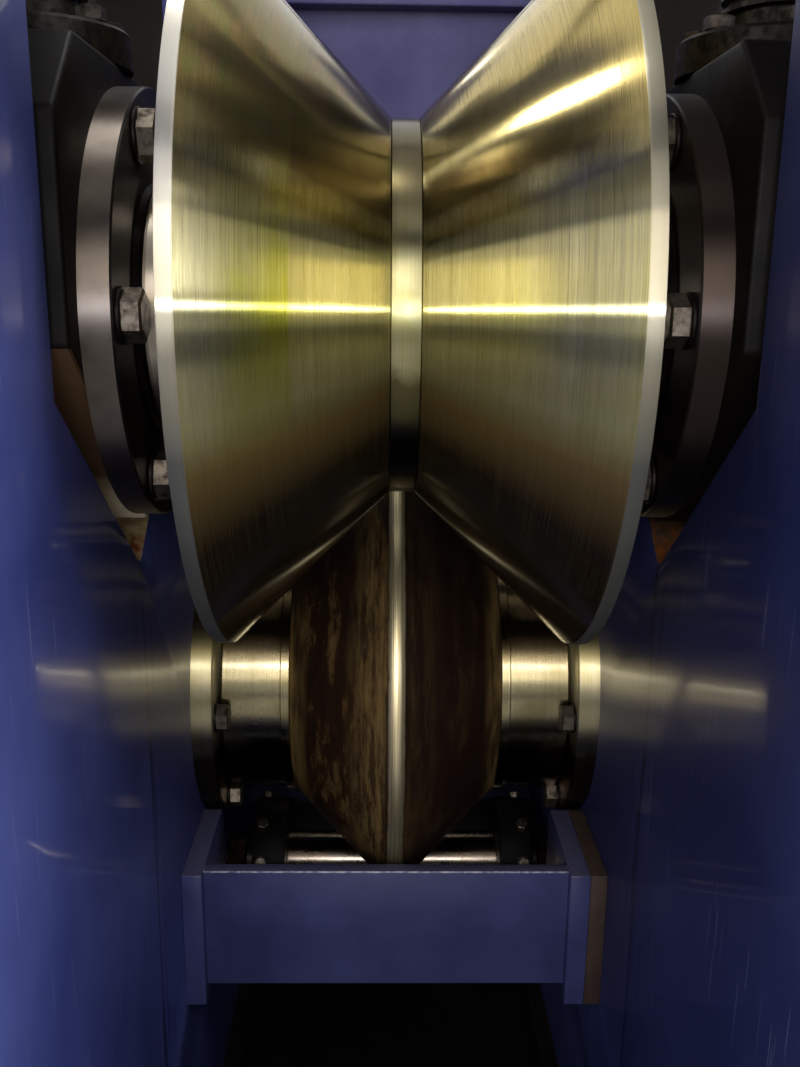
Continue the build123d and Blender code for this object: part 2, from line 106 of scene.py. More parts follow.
def add_node(tree, kind, inputs=(), **settings):
    """Adds a node with its settings and links. An input is a value, a socket, or a node, which then gives its
    first live output."""
    made = tree.nodes.new("ShaderNode" + kind)
    for name, value in settings.items():
        setattr(made, name, value)
    pairs = inputs.items() if isinstance(inputs, dict) else enumerate(inputs)
    for key, value in pairs:
        if isinstance(value, bpy.types.Node):
            value = next(out for out in value.outputs if out.enabled)
        if isinstance(value, bpy.types.NodeSocket):
            tree.links.new(value, made.inputs[key])
        else:
            made.inputs[key].default_value = value
    return made


def new_finish(name):
    """An empty material, and the function that adds nodes to it."""
    material = bpy.data.materials.new(name)
    material.use_nodes = True
    material.node_tree.nodes.clear()
    return material, partial(add_node, material.node_tree)


def mottling(node, patch_mm, detail=4.0, rough=0.6, stretch=(1, 1, 1)):
    """Patches about patch_mm across, longer along an axis whose stretch is above 1."""
    shares = [1 / (patch_mm * MM * s) for s in stretch]
    place = node("TexCoord").outputs["Object"]
    scaled = node("VectorMath", [place, shares], operation="MULTIPLY")
    return node("TexNoise", {"Vector": scaled, "Scale": 1.0, "Detail": detail, "Roughness": rough})


class RollSpot:
    """Sockets that tell where a point lies on the nearest roll of one level."""

    def __init__(self, node, axis, lean):
        place = node("SeparateXYZ", [node("TexCoord").outputs["Object"]])
        shifted = node("Math", [place.outputs["Y"], PITCH / 2 - axis[0]], operation="ADD")
        cycle = node("Math", [shifted, PITCH], operation="FLOORED_MODULO")
        local_y = node("Math", [cycle, -PITCH / 2], operation="ADD")
        local_z = node("Math", [place.outputs["Z"], -axis[1]], operation="ADD")
        across = node("CombineXYZ", {"Y": local_y, "Z": local_z})
        self.along = place.outputs["X"]
        self.past = local_y
        self.level = local_z
        self.away = node("Math", [self.along], operation="ABSOLUTE")
        self.out = node("VectorMath", [across], operation="LENGTH")
        self.round = node("VectorMath", [across], operation="NORMALIZE")
        self.number = node("Math", [node("Math", [shifted, PITCH], operation="DIVIDE")], operation="FLOOR")
        leaned = node("Math", [self.out, lean, self.away], operation="MULTIPLY_ADD")
        side = node("Math", [self.along], operation="SIGN")
        # The halves of a roll are set apart, so that their rings don't match
        halves_apart = 0.137
        self.travel = node("Math", [side, halves_apart, leaned], operation="MULTIPLY_ADD")


def tool_rings(node, spot, width_mm, change=0.8, detail=3.0):
    """Rings left by a lathe tool, about width_mm wide, that fade in and out round the part."""
    step = node("Math", [spot.travel, 1 / (width_mm * MM)], operation="MULTIPLY")
    place = node("VectorMath", [spot.round, (change, change, change), node("CombineXYZ", {"X": step})],
                 operation="MULTIPLY_ADD")
    inputs = {"Vector": place, "W": spot.number, "Scale": 1.0, "Detail": detail, "Roughness": 0.6}
    return node("TexNoise", inputs, noise_dimensions="4D")


# Sizes and colours that a user would change

def length(name, description, value):
    """A length, given in millimetres."""
    return bpy.props.FloatProperty(name=name, description=description, default=value * MM, min=0.0,
                                   precision=4, unit="LENGTH")


def shade(name, description, code):
    """A colour, given as sRGB hex."""
    return bpy.props.FloatVectorProperty(name=name, description=description, default=linear(code), size=4,
                                         min=0.0, max=1.0, subtype="COLOR")


def facets(name, description, value, fewest, most):
    """A number of facets round a turned part."""
    return bpy.props.IntProperty(name=name, description=description, default=value, min=fewest, max=most)


class StraightenerRolls(bpy.types.PropertyGroup):
    """Sizes of the rolls and their shafts."""

    circle_steps: facets("Circle steps", "Facets round a large turned part", 160, 32, 360)
    edge_ease: length("Eased edge", "Width taken off the sharp edges of turned parts", 1.0)
    rim_width: length("Rim width", "Width of the cylindrical rim of an upper roll", 10.5)
    upper_bore: length("Upper journal", "Radius of the upper shaft in the roll and the chock", 80)
    hub_chamfer: length("Hub chamfer", "Chamfer of the hub collar of an upper shaft", 3)
    lower_bore: length("Lower journal", "Radius of the lower shaft in the roll and the housing", 90)
    nose_step: length("Nose step", "How far the nose ring stands proud of the cones", 3)
    collar_radius: length("Collar radius", "Radius of the wide collar of a lower shaft", 164)
    clamp_width: length("Clamp ring", "Width of the thin ring beside a lower roll", 12)
    run_clear: length("Running gap", "Gap beside parts that turn", 5)
    land_radius: length("Seal land", "Radius of the shaft in its outer cover", 66)
    land_proud: length("Land proud", "How far the seal land stands out of the upper outer cover", 15)
    drive_radius: length("Drive end", "Radius of the end that a spindle fits over", 60)
    drive_chamfer: length("Drive chamfer", "Chamfer of the drive end", 4)
    key_length: length("Key seat length", "Length of the key seat in the drive end", 110)
    key_width: length("Key seat width", "Width of the key seat", 32)
    key_depth: length("Key seat depth", "Depth of the key seat", 11)
    key_angle: bpy.props.FloatProperty(name="Key angle", description="Turn of the key seat from the top",
                                       default=math.radians(36), subtype="ANGLE", unit="ROTATION")


class StraightenerBearings(bpy.types.PropertyGroup):
    """Sizes of the chocks, covers and flanges that carry the rolls."""

    cover_radius: length("Inner cover", "Radius of the round cover on the inner face of a chock", 185)
    cover_thick: length("Inner cover thickness", "Thickness of the inner cover", 25)
    cover_ease: length("Inner cover edge", "Eased edge of the inner cover", 1.5)
    cover_groove: length("Seal groove", "Depth of the ring groove round the shaft", 4)
    outer_radius: length("Outer cover", "Radius of the outer cover of a chock", 165)
    outer_thick: length("Outer cover thickness", "Thickness of the outer cover of a chock", 25)
    shoulder: length("Chock shoulder", "Size of the cut top corners of a chock", 60)
    block_ease: length("Chock edge", "Rounding of the cast edges of a chock", 4)
    flange_radius: length("Housing flange", "Radius of the flange of a lower bearing", 195)
    flange_thick: length("Housing flange thickness", "Thickness of that flange", 27)
    barrel_radius: length("Housing barrel", "Radius of the housing inside the frame", 150)
    outer_edge: length("Outer cover edge", "Chamfer of the outer covers", 3)
    bolt_flats: length("Bolt flats", "Width across the flats of the cover bolts", 36)
    flange_bolt_flats: length("Flange bolt flats", "Width across the flats of the flange bolts", 30)
    bolt_head: length("Bolt head", "Height of the head of a cover bolt", 13)
    cover_bolts: length("Cover bolt circle", "Radius of the bolt circle of the inner covers", 159)
    flange_bolts: length("Flange bolt circle", "Radius of the bolt circle of the housing flanges", 175)


class StraightenerPlateSizes(bpy.types.PropertyGroup):
    """Sizes on plates, bars and the screw-down."""

    plate_ease: length("Plate edge", "Eased edge of thick plates", 2.5)
    thin_ease: length("Thin plate edge", "Eased edge of thin plates", 1.2)
    small_steps: facets("Small circle steps", "Facets round a small turned part", 64, 16, 180)
    rod_radius: length("Rod radius", "Radius of the rod beyond a tie bar block", 26)
    sleeve_radius: length("Sleeve radius", "Radius of the bright sleeve of a tie bar", 43)
    nut_flats: length("Nut flats", "Width across the flats of a tie bar nut", 73)
    nut_height: length("Nut height", "Height of a tie bar nut", 22)
    screw_radius: length("Screw radius", "Outer radius of a lifting screw", 40)
    thread_pitch: length("Thread pitch", "Rise of a lifting screw in one turn", 12)
    thread_depth: length("Thread depth", "Depth of the thread of a lifting screw", 6)
    foot_thick: length("Foot thickness", "Thickness of the foot of a lifting screw", 30)
    beam_bolt_flats: length("Beam bolt flats", "Width across the flats of the bolts in the tie beams", 36)
    cap_bolt_flats: length("Cap bolt flats", "Width across the flats of the bolts in the cap plates", 30)
    block_bolt_flats: length("Small bolt flats", "Width across the flats of the small bolts", 20)


class StraightenerColours(bpy.types.PropertyGroup):
    """Main colours of the machine."""

    frame_blue: shade("Frame blue", "Enamel of the side frames", "#3A427E")
    frame_faded: shade("Frame blue, faded", "The same enamel under oil mist and dust", "#525C9C")
    beam_blue: shade("Beam blue", "Enamel of the beams and plates", "#32355F")
    beam_faded: shade("Beam blue, faded", "The same enamel under dust", "#444878")
    roll_light: shade("Roll steel, light", "Fresh turned steel of the upper rolls", "#C4BC90")
    roll_dark: shade("Roll steel, dark", "Duller turned steel", "#ACA474")
    oil_tint: shade("Oil tint", "Yellow-green oil film on bright steel", "#A09A4A")
    scale_dark: shade("Scale, dark", "Mill scale on the lower rolls", "#150C07")
    scale_brown: shade("Scale, brown", "Rust in the scale", "#3F260F")
    rubbed: shade("Rubbed steel", "Golden streaks where the scale is rubbed off", "#B0925C")
    machined: shade("Machined steel", "Bare machined faces of windows and chocks", "#C4B48F")
    rust: shade("Rust", "Orange-brown rust", "#7A4218")
    black: shade("Oily black", "Cast steel under oil and scale", "#080606")


# Finishes. Each adds its nodes, gives its surface and reads the place on the object, so it stays put when a
# roll turns. Tints are laid over a first colour one after another, each as far as its cover says

def turned_roll_steel(node, colours):
    """Alloy roll steel off the lathe, under thin yellow-green oil. The close grooves run round the roll, so
    each lamp is drawn out into a line along it. Real grooves are 0.3 mm apart and drawn at 1.1 mm to show."""
    spot = RollSpot(node, UPPER_AXES[1], 1)
    grooves = tool_rings(node, spot, 1.1, 1.6, 2.0)
    scratches = tool_rings(node, spot, 0.9, 9.0, 1.0)
    bands = tool_rings(node, spot, 9, 0.5)
    film = mottling(node, 110, 4.0, 0.6)
    runs = mottling(node, 26, 4.0, 0.65, (0.5, 1.6, 1.6))
    # Painted shade: the upper part of the left cone is darkened to old-oil brown, and the right one a little,
    # standing in for a dark reflection
    high = node("Math", [node("MapRange", [spot.level, 0.045, 0.150, 0.0, 0.9]),
                         node("MapRange", [spot.along, -0.02, 0.02, 1.0, 0.15])], operation="MULTIPLY")
    oil_and_painted_shade = node("Mix", {"Factor": node("MapRange", [runs, 0.35, 0.65]), "A": linear("#7C6138"),
                           "B": linear("#66602E")}, data_type="RGBA")
    # Painted reflection: the upper part of the right cone is mixed toward pale gold
    golden = node("Math", [node("MapRange", [spot.level, 0.090, 0.150, 0.0, 0.7]),
                           node("MapRange", [spot.along, -0.02, 0.02])], operation="MULTIPLY")
    # Painted shade: a belt 24 to 40 degrees above the front is darkened to brown, standing in for a dark
    # reflection
    sine = node("Math", [spot.level, spot.out], operation="DIVIDE")
    wavy = node("Math", [runs, 0.05, sine], operation="MULTIPLY_ADD")
    top_end = node("MapRange", [spot.away, 0.030, 0.150, 0.70, 0.54])
    below_top = node("MapRange", {"Value": wavy, "From Min": node("Math", [top_end, -0.12], operation="ADD"),
                                  "From Max": top_end, "To Min": 1.0, "To Max": 0.0})
    painted_shade_belt = node("Math", [node("MapRange", [wavy, 0.395, 0.47, 0.0, 0.9]), below_top], operation="MULTIPLY")
    # A band of the left cone, 80 to 135 mm out from the middle, keeps the thickest fresh oil
    begin = node("MapRange", [spot.along, -0.134, -0.114])
    end = node("MapRange", [spot.along, -0.0835, -0.0815, 1.0, 0.0])
    band = node("Math", [begin, end], operation="MULTIPLY")
    patchy = node("Math", [node("MapRange", [film, 0.36, 0.62, 0.35, 0.8]),
                           node("MapRange", [runs, 0.34, 0.62, 0.6, 1.0])], operation="MULTIPLY")
    thick = node("Math", [patchy, node("MapRange", [spot.level, 0.12, 0.03, 0.1, 1.1])], operation="MULTIPLY")
    colour = colours.roll_dark[:]
    for cover, tint in (
        (node("MapRange", [bands, 0.30, 0.70]), colours.roll_light[:]),
        (node("MapRange", [film, 0.45, 0.70, 0.0, 0.45]), colours.oil_tint[:]),
        (golden, linear("#D8BE70")),
        (high, oil_and_painted_shade),
        (painted_shade_belt, linear("#4E4028")),
        (node("Math", [band, thick], operation="MULTIPLY"), linear("#9C9E2A")),
        # Painted shade: below the axis the steel is mixed to olive, then brown, then near black toward the
        # bottom
        (node("MapRange", [sine, -0.04, -0.30, 0.0, 0.75]), linear("#6C6A42")),
        (node("MapRange", [sine, -0.23, -0.35, 0.0, 0.9]), linear("#66502A")),
        (node("MapRange", [sine, -0.34, -0.56, 0.0, 0.97]), linear("#1C130B")),
        (node("MapRange", [grooves, 0.45, 0.80, 0.0, 0.30]), linear("#6F6A45")),
        (node("MapRange", [scratches, 0.56, 0.70, 0.0, 0.35]), linear("#3E3820")),
    ):
        colour = node("Mix", {"Factor": cover, "A": colour, "B": tint}, data_type="RGBA")
    # The ground rim is paler than the cone. On the left its upper part is mixed to near white, a painted
    # highlight, and below the axis it turns dark grey, painted shade
    rim = node("MapRange", [spot.out, UPPER_RADIUS - 1.2 * MM, UPPER_RADIUS - 0.6 * MM])
    clean = node("Math", [node("MapRange", [spot.level, 0.030, 0.100]),
                          node("MapRange", [spot.along, -0.01, 0.01, 1.0, 0.1])], operation="MULTIPLY")
    rim_painted_highlight = node("Mix", {"Factor": clean, "A": linear("#B2AA92"), "B": linear("#FAF4E4")}, data_type="RGBA")
    ground = node("Mix", {"Factor": node("MapRange", [spot.level, -0.010, -0.090, 0.0, 0.9]),
                          "A": rim_painted_highlight, "B": linear("#45484A")}, data_type="RGBA")
    colour = node("Mix", {"Factor": rim, "A": colour, "B": ground}, data_type="RGBA")
    worn = node("MapRange", [film, 0.35, 0.70, 0.15, 0.20])
    round_it = node("Tangent", direction_type="RADIAL", axis="X")
    polished = node("BsdfPrincipled", {
        "Base Color": colour,
        # Less metallic below the axis, which deepens the painted shade there
        "Metallic": node("MapRange", [spot.level, -0.020, -0.080, 1.0, 0.45]),
        "Roughness": node("Mix", {"Factor": rim, "A": worn, "B": 0.56}, data_type="FLOAT"),
        "Anisotropic": 0.85,
        "Anisotropic Rotation": 0.25,
        "Tangent": round_it,
        "Normal": node("Bump", {"Height": grooves, "Distance": 0.12 * MM, "Strength": 0.5}),
    })
    # The steep sides of the grooves spread light far along the roll, but hardly round it
    groove_sides = node("BsdfAnisotropic", {
        "Color": colour,
        "Roughness": 0.31,
        "Anisotropy": 0.86,
        "Tangent": round_it,
    }, distribution="BECKMANN")
    open_low = node("Math", [node("MapRange", [spot.level, -0.020, -0.080, 0.40, 0.12]),
                             node("MapRange", [grooves, 0.30, 0.70, 0.5, 1.5])], operation="MULTIPLY")
    # Dried oil fills the grooves higher up
    sides = node("Math", [open_low, node("MapRange", [sine, 0.28, 0.50, 1.0, 0.25])], operation="MULTIPLY")
    return node("MixShader", [sides, polished, groove_sides])


def turned_steel(node, axis, light, dark, oil, over, under, ring_mm, rough, relief_mm):
    """Shaft steel, ground or finely turned: close rings round the part and thin patches of old oil. A colour
    laid high up and another laid below its axis, with a ragged edge, are painted shade."""
    spot = RollSpot(node, axis, 1)
    marks = tool_rings(node, spot, ring_mm, 0.8, 3.0)
    patches = mottling(node, 45)
    ragged = node("Math", [patches, 0.05, spot.level], operation="MULTIPLY_ADD")
    colour = linear(dark)
    for cover, tint in (
        (node("MapRange", [marks, 0.30, 0.70]), light),
        (node("MapRange", [patches, 0.48, 0.70, 0.0, 0.6]), oil),
        # Painted shade: a colour high up, and another below the axis
        (node("MapRange", [spot.level, 0.045, 0.085, 0.0, 0.8]), over),
        (node("MapRange", [ragged, -0.010, -0.026, 0.0, 0.96]), under),
    ):
        colour = node("Mix", {"Factor": cover, "A": colour, "B": linear(tint)}, data_type="RGBA")
    return node("BsdfPrincipled", {
        "Base Color": colour,
        "Metallic": 1.0,
        "Roughness": node("MapRange", [patches, 0.35, 0.75, rough, rough + 0.10]),
        "Anisotropic": 0.9,
        "Anisotropic Rotation": 0.25,
        "Tangent": node("Tangent", direction_type="RADIAL", axis="X"),
        "Normal": node("Bump", {"Height": marks, "Distance": relief_mm * MM, "Strength": 0.5}),
    })


def scaled_roll_steel(node, colours):
    """Forged roll steel under dark mill scale, rubbed to soft golden brown beside the nose, along the
    shoulders and in patches by the steel that it bends."""
    spot = RollSpot(node, LOWER_AXES[1], -1)
    fine = tool_rings(node, spot, 1.4, 2.0, 4.0)
    broad = tool_rings(node, spot, 34, 1.5, 3.0)
    grain = mottling(node, 3, 4.0, 0.65)
    flakes = mottling(node, 60, 6.0, 0.7, (0.5, 1.8, 1.8))
    smears = mottling(node, 34, 6.0, 0.7, (0.35, 2.6, 2.6))
    # The left cone is rubbed harder than the right one, and rustier
    left = node("MapRange", [spot.along, -0.02, 0.02, 1.0, 0.12])
    rust = node("Math", [left, node("MapRange", [flakes, 0.40, 0.62, 0.0, 0.8])], operation="MULTIPLY")
    beside = node("Math", [node("MapRange", [spot.away, 0.010, 0.018]),
                           node("MapRange", [spot.away, 0.028, 0.062, 1.0, 0.0])], operation="MULTIPLY")
    streak = node("Math", [beside, node("MapRange", [smears, 0.44, 0.60, 0.08, 0.85])], operation="MULTIPLY")
    shoulder = node("Math", [node("MapRange", [spot.away, 0.108, 0.128]),
                             node("MapRange", [broad, 0.42, 0.58, 0.1, 0.9])], operation="MULTIPLY")
    patch = node("MapRange", [flakes, 0.53, 0.66, 0.0, 0.6])
    either = node("Math", [node("Math", [streak, patch], operation="MAXIMUM"), left], operation="MULTIPLY")
    worn = node("Math", [either, shoulder], operation="MAXIMUM")
    bare = node("Math", [worn, node("MapRange", [fine, 0.30, 0.62, 0.35, 1.0])], operation="MULTIPLY")
    colour = colours.scale_dark[:]
    for cover, tint in (
        (node("MapRange", [grain, 0.35, 0.70]), linear("#29170B")),
        (rust, colours.scale_brown[:]),
        (bare, colours.rubbed[:]),
    ):
        colour = node("Mix", {"Factor": cover, "A": colour, "B": tint}, data_type="RGBA")
    relief = node("Math", [fine, 0.7, grain], operation="MULTIPLY_ADD")
    return node("BsdfPrincipled", {
        "Base Color": colour,
        "Metallic": node("MapRange", [bare, 0.0, 1.0, 0.15, 0.75]),
        "Roughness": node("MapRange", [bare, 0.0, 1.0, 0.52, 0.42]),
        "Specular IOR Level": 0.25,
        "Normal": node("Bump", {"Height": relief, "Distance": 0.4 * MM, "Strength": 0.6}),
    })


def polished_nose(node):
    """Hardened steel, rubbed to a soft golden shine by the corner of each angle, with brown rust along both
    edges and streaks of it round the ring."""
    spot = RollSpot(node, LOWER_AXES[1], -1)
    marks = tool_rings(node, spot, 2.2, 1.2, 3.0)
    wander = node("Math", [mottling(node, 30), 0.006, -0.003], operation="MULTIPLY_ADD")
    off_middle = node("Math", [node("Math", [spot.along, wander], operation="ADD")], operation="ABSOLUTE")
    dirty = node("MapRange", [off_middle, 0.0080, 0.0105])
    bright = node("Mix", {"Factor": node("MapRange", [marks, 0.35, 0.62]), "A": linear("#9C8858"),
                          "B": linear("#DCD2B0")}, data_type="RGBA")
    return node("BsdfPrincipled", {
        "Base Color": node("Mix", {"Factor": dirty, "A": bright, "B": linear("#5A4220")}, data_type="RGBA"),
        "Metallic": 0.9,
        "Roughness": node("MapRange", [dirty, 0.0, 1.0, 0.40, 0.50]),
        "Normal": node("Bump", {"Height": marks, "Distance": 0.2 * MM, "Strength": 0.6}),
    })


# The bare faces of a window end just within this distance from its middle, and just above this height, which
# is counted from the axis of its roll
BARE_HALF = 224 * MM
BARE_LOW = -245 * MM


def frame_enamel(node, colours):
    """Glossy two-pack enamel on thick plate, with faint orange peel, oil mist, dust and a few upright
    scratches. The window faces are bare machined steel that rusts toward the tip of the V."""
    spot = RollSpot(node, UPPER_AXES[1], 1)
    normal = node("SeparateXYZ", [node("NewGeometry").outputs["True Normal"]])
    beside = node("Math", [spot.past], operation="ABSOLUTE")
    mist = mottling(node, 260)
    dust = mottling(node, 3, 5.0, 0.7)
    # Fine upright scratches, a millimetre wide and up to 200 mm long
    nicks = mottling(node, 2, 1.0, 0.4, (1, 1, 70))
    # A dark run of oil goes straight down from the tip of each window, in a wider stain
    below = node("MapRange", [spot.level, BARE_LOW, BARE_LOW + 0.010, 1.0, 0.0])
    run = node("Math", [node("MapRange", [beside, 0.0010, 0.0035, 0.9, 0.0]), below], operation="MULTIPLY")
    drips = mottling(node, 12, 4.0, 0.6, (1, 1, 14))
    stain = node("Math", [node("MapRange", [beside, 0.02, 0.09, 1.0, 0.0]),
                          node("MapRange", [drips, 0.50, 0.66, 0.0, 0.6])], operation="MULTIPLY")
    wet = node("Math", [run, node("Math", [stain, below], operation="MULTIPLY")], operation="MAXIMUM")
    paint = colours.frame_blue[:]
    for cover, tint in (
        (node("MapRange", [mist, 0.35, 0.70]), colours.frame_faded[:]),
        # Painted shade: the right frame is mixed half way to dark navy
        (node("MapRange", [spot.along, -0.01, 0.01, 0.0, 0.5]), linear("#15183A")),
        (node("MapRange", [dust, 0.60, 0.75, 0.0, 0.22]), linear("#6A72A4")),
        (node("MapRange", [nicks, 0.735, 0.75, 0.0, 0.55]), linear("#9AA0C8")),
        (wet, linear("#131333")),
    ):
        paint = node("Mix", {"Factor": cover, "A": paint, "B": tint}, data_type="RGBA")
    # The machined faces of the windows look along the pass line, so they have no normal along X
    sideways = node("Math", [normal.outputs["X"]], operation="ABSOLUTE")
    inside = node("Math", [
        node("MapRange", [beside, BARE_HALF - 0.5 * MM, BARE_HALF + 0.5 * MM, 1.0, 0.0]),
        node("MapRange", [spot.level, BARE_LOW - 1 * MM, BARE_LOW + 1 * MM]),
    ], operation="MULTIPLY")
    bare = node("Math", [node("MapRange", [sideways, 0.80, 0.90, 1.0, 0.0]), inside], operation="MULTIPLY")
    milled = mottling(node, 1.5, 3.0, 0.6, (12, 1, 1))
    # Above the chocks the window faces are black with oil; on the right they are painted black all over as
    # painted shade
    oil_and_painted_shade = node("Math", [node("MapRange", [spot.level, 0.02, 0.16]),
                            node("MapRange", [spot.along, -0.01, 0.01, 0.0, 0.92])], operation="MAXIMUM")
    tip = node("Math", [node("MapRange", [spot.level, BARE_LOW + 0.060, BARE_LOW + 0.020]),
                        node("MapRange", [mottling(node, 12), 0.35, 0.60])], operation="MULTIPLY")
    steel = linear("#A8946C")
    for cover, tint in (
        (node("MapRange", [milled, 0.3, 0.7]), colours.machined[:]),
        (oil_and_painted_shade, linear("#1B1512")),
        (tip, colours.rust[:]),
    ):
        steel = node("Mix", {"Factor": cover, "A": steel, "B": tint}, data_type="RGBA")
    peel = mottling(node, 4, 2.0, 0.5)
    return node("BsdfPrincipled", {
        "Base Color": node("Mix", {"Factor": bare, "A": paint, "B": steel}, data_type="RGBA"),
        "Metallic": node("Math", [bare, 0.35], operation="MULTIPLY"),
        "Roughness": node("Math", [bare, 0.15, node("MapRange", [mist, 0.3, 0.7, 0.44, 0.56])],
                          operation="MULTIPLY_ADD"),
        "Specular IOR Level": 0.16,
        "Coat Weight": 0.22,
        "Coat Roughness": 0.07,
        "Normal": node("Bump", {"Height": peel, "Distance": 0.06 * MM, "Strength": 0.5}),
    })


def plate_enamel(node, fresh, faded, rough, shine, rubbed_top=None):
    """Sprayed enamel on beams and plates: faint orange peel, with grey-brown dust lying on what faces up. The
    edge at the height rubbed_top is rubbed through in spots."""
    normal = node("SeparateXYZ", [node("NewGeometry").outputs["True Normal"]])
    mist = mottling(node, 120)
    grime = mottling(node, 4, 5.0, 0.7)
    flat = node("Math", [node("MapRange", [normal.outputs["Z"], 0.70, 0.95]),
                         node("MapRange", [grime, 0.30, 0.62, 0.35, 0.9])], operation="MULTIPLY")
    layers = [
        (node("MapRange", [mist, 0.35, 0.70]), faded),
        (node("MapRange", [grime, 0.58, 0.72, 0.0, 0.5]), linear("#23264A")),
        (flat, linear("#45445C")),
    ]
    if rubbed_top:
        height = node("SeparateXYZ", [node("TexCoord").outputs["Object"]]).outputs["Z"]
        upright = node("MapRange", [normal.outputs["Z"], 0.90, 0.94, 1.0, 0.0])
        rim = node("MapRange", [height, rubbed_top - 2.4 * MM, rubbed_top - 1.4 * MM])
        edge = node("Math", [rim, upright], operation="MULTIPLY")
        spots = node("MapRange", [mottling(node, 9, 4.0, 0.7), 0.40, 0.62, 0.15, 1.0])
        layers.append((node("Math", [edge, spots], operation="MULTIPLY"), linear("#C4C2D6")))
    colour = fresh
    for cover, tint in layers:
        colour = node("Mix", {"Factor": cover, "A": colour, "B": tint}, data_type="RGBA")
    peel = mottling(node, 4, 2.0, 0.5)
    return node("BsdfPrincipled", {
        "Base Color": colour,
        "Roughness": node("MapRange", [flat, 0.0, 1.0, rough, 0.75]),
        "Specular IOR Level": shine,
        "Normal": node("Bump", {"Height": peel, "Distance": 0.06 * MM, "Strength": 0.5}),
    })


def sooty_beam(node, colours):
    """Enamelled beam under the rolls: below the edge of its top flange it is painted near black, as painted
    shade of the recessed web together with oil and fallen scale.
    """
    place = node("SeparateXYZ", [node("TexCoord").outputs["Object"]])
    grime = mottling(node, 14, 5.0, 0.7)
    edge = node("Math", [grime, 0.03, place.outputs["Z"]], operation="MULTIPLY_ADD")
    # Painted shade: near black below the edge of the top flange, blue enamel above it
    clean = node("MapRange", [edge, LOWER_BEAM_TOP - 0.006, LOWER_BEAM_TOP + 0.008])
    soot_and_shade = node("Mix", {"Factor": node("MapRange", [grime, 0.35, 0.65]), "A": linear("#0B0809"),
                        "B": linear("#1B1417")}, data_type="RGBA")
    return node("BsdfPrincipled", {
        "Base Color": node("Mix", {"Factor": clean, "A": soot_and_shade, "B": colours.beam_blue[:]}, data_type="RGBA"),
        "Roughness": node("MapRange", [grime, 0.3, 0.7, 0.75, 0.45]),
        "Specular IOR Level": 0.35,
        "Normal": node("Bump", {"Height": grime, "Distance": 0.3 * MM, "Strength": 0.4}),
    })


def oily_casting(node, dark, light, dry, wet):
    """Cast steel black with oil and scale: a fine cast skin, wet in patches."""
    skin = mottling(node, 2.5, 5.0, 0.7)
    pools = mottling(node, 70)
    colour = linear(dark)
    for cover, tint in (
        (node("MapRange", [skin, 0.3, 0.7]), linear(light)),
        (node("MapRange", [pools, 0.50, 0.75, 0.0, 0.5]), linear("#2C1E16")),
    ):
        colour = node("Mix", {"Factor": cover, "A": colour, "B": tint}, data_type="RGBA")
    return node("BsdfPrincipled", {
        "Base Color": colour,
        "Specular IOR Level": 0.12,
        "Roughness": node("MapRange", [pools, 0.3, 0.7, dry, wet]),
        "Normal": node("Bump", {"Height": skin, "Distance": 0.25 * MM, "Strength": 0.5}),
    })


def chock_casting(node, colours):
    """The same oily casting, brown with old grease on the V foot and rubbed bright at its left tip."""
    place = node("SeparateXYZ", [node("TexCoord").outputs["Object"]])
    normal = node("SeparateXYZ", [node("NewGeometry").outputs["True Normal"]])
    skin = mottling(node, 2.5, 5.0, 0.7)
    pools = mottling(node, 70)
    grease = node("MapRange", [place.outputs["X"], -0.01, 0.01])
    foot = node("Mix", {"Factor": grease, "A": linear("#5C4532"), "B": linear("#120D0B")}, data_type="RGBA")
    milled = mottling(node, 1.5, 3.0, 0.6, (12, 1, 1))
    steel = node("Mix", {"Factor": node("MapRange", [milled, 0.3, 0.7]), "A": linear("#D0C0A0"),
                         "B": linear("#F6ECD8")}, data_type="RGBA")
    tip = node("Math", [node("MapRange", [place.outputs["Z"], CHOCK_LOW + 0.055, CHOCK_LOW + 0.025]),
                        node("Math", [1.0, grease], operation="SUBTRACT")], operation="MULTIPLY")
    rubbed = node("Mix", {"Factor": tip, "A": foot, "B": steel}, data_type="RGBA")
    colour = colours.black[:]
    for cover, tint in (
        (node("MapRange", [skin, 0.3, 0.7]), linear("#100A08")),
        (node("MapRange", [pools, 0.50, 0.75, 0.0, 0.4]), linear("#241812")),
        (node("MapRange", [normal.outputs["Z"], -0.60, -0.50, 1.0, 0.0]), rubbed),
    ):
        colour = node("Mix", {"Factor": cover, "A": colour, "B": tint}, data_type="RGBA")
    return node("BsdfPrincipled", {
        "Base Color": colour,
        "Roughness": node("MapRange", [pools, 0.3, 0.7, 0.60, 0.42]),
        "Specular IOR Level": 0.07,
        "Normal": node("Bump", {"Height": skin, "Distance": 0.25 * MM, "Strength": 0.4}),
    })


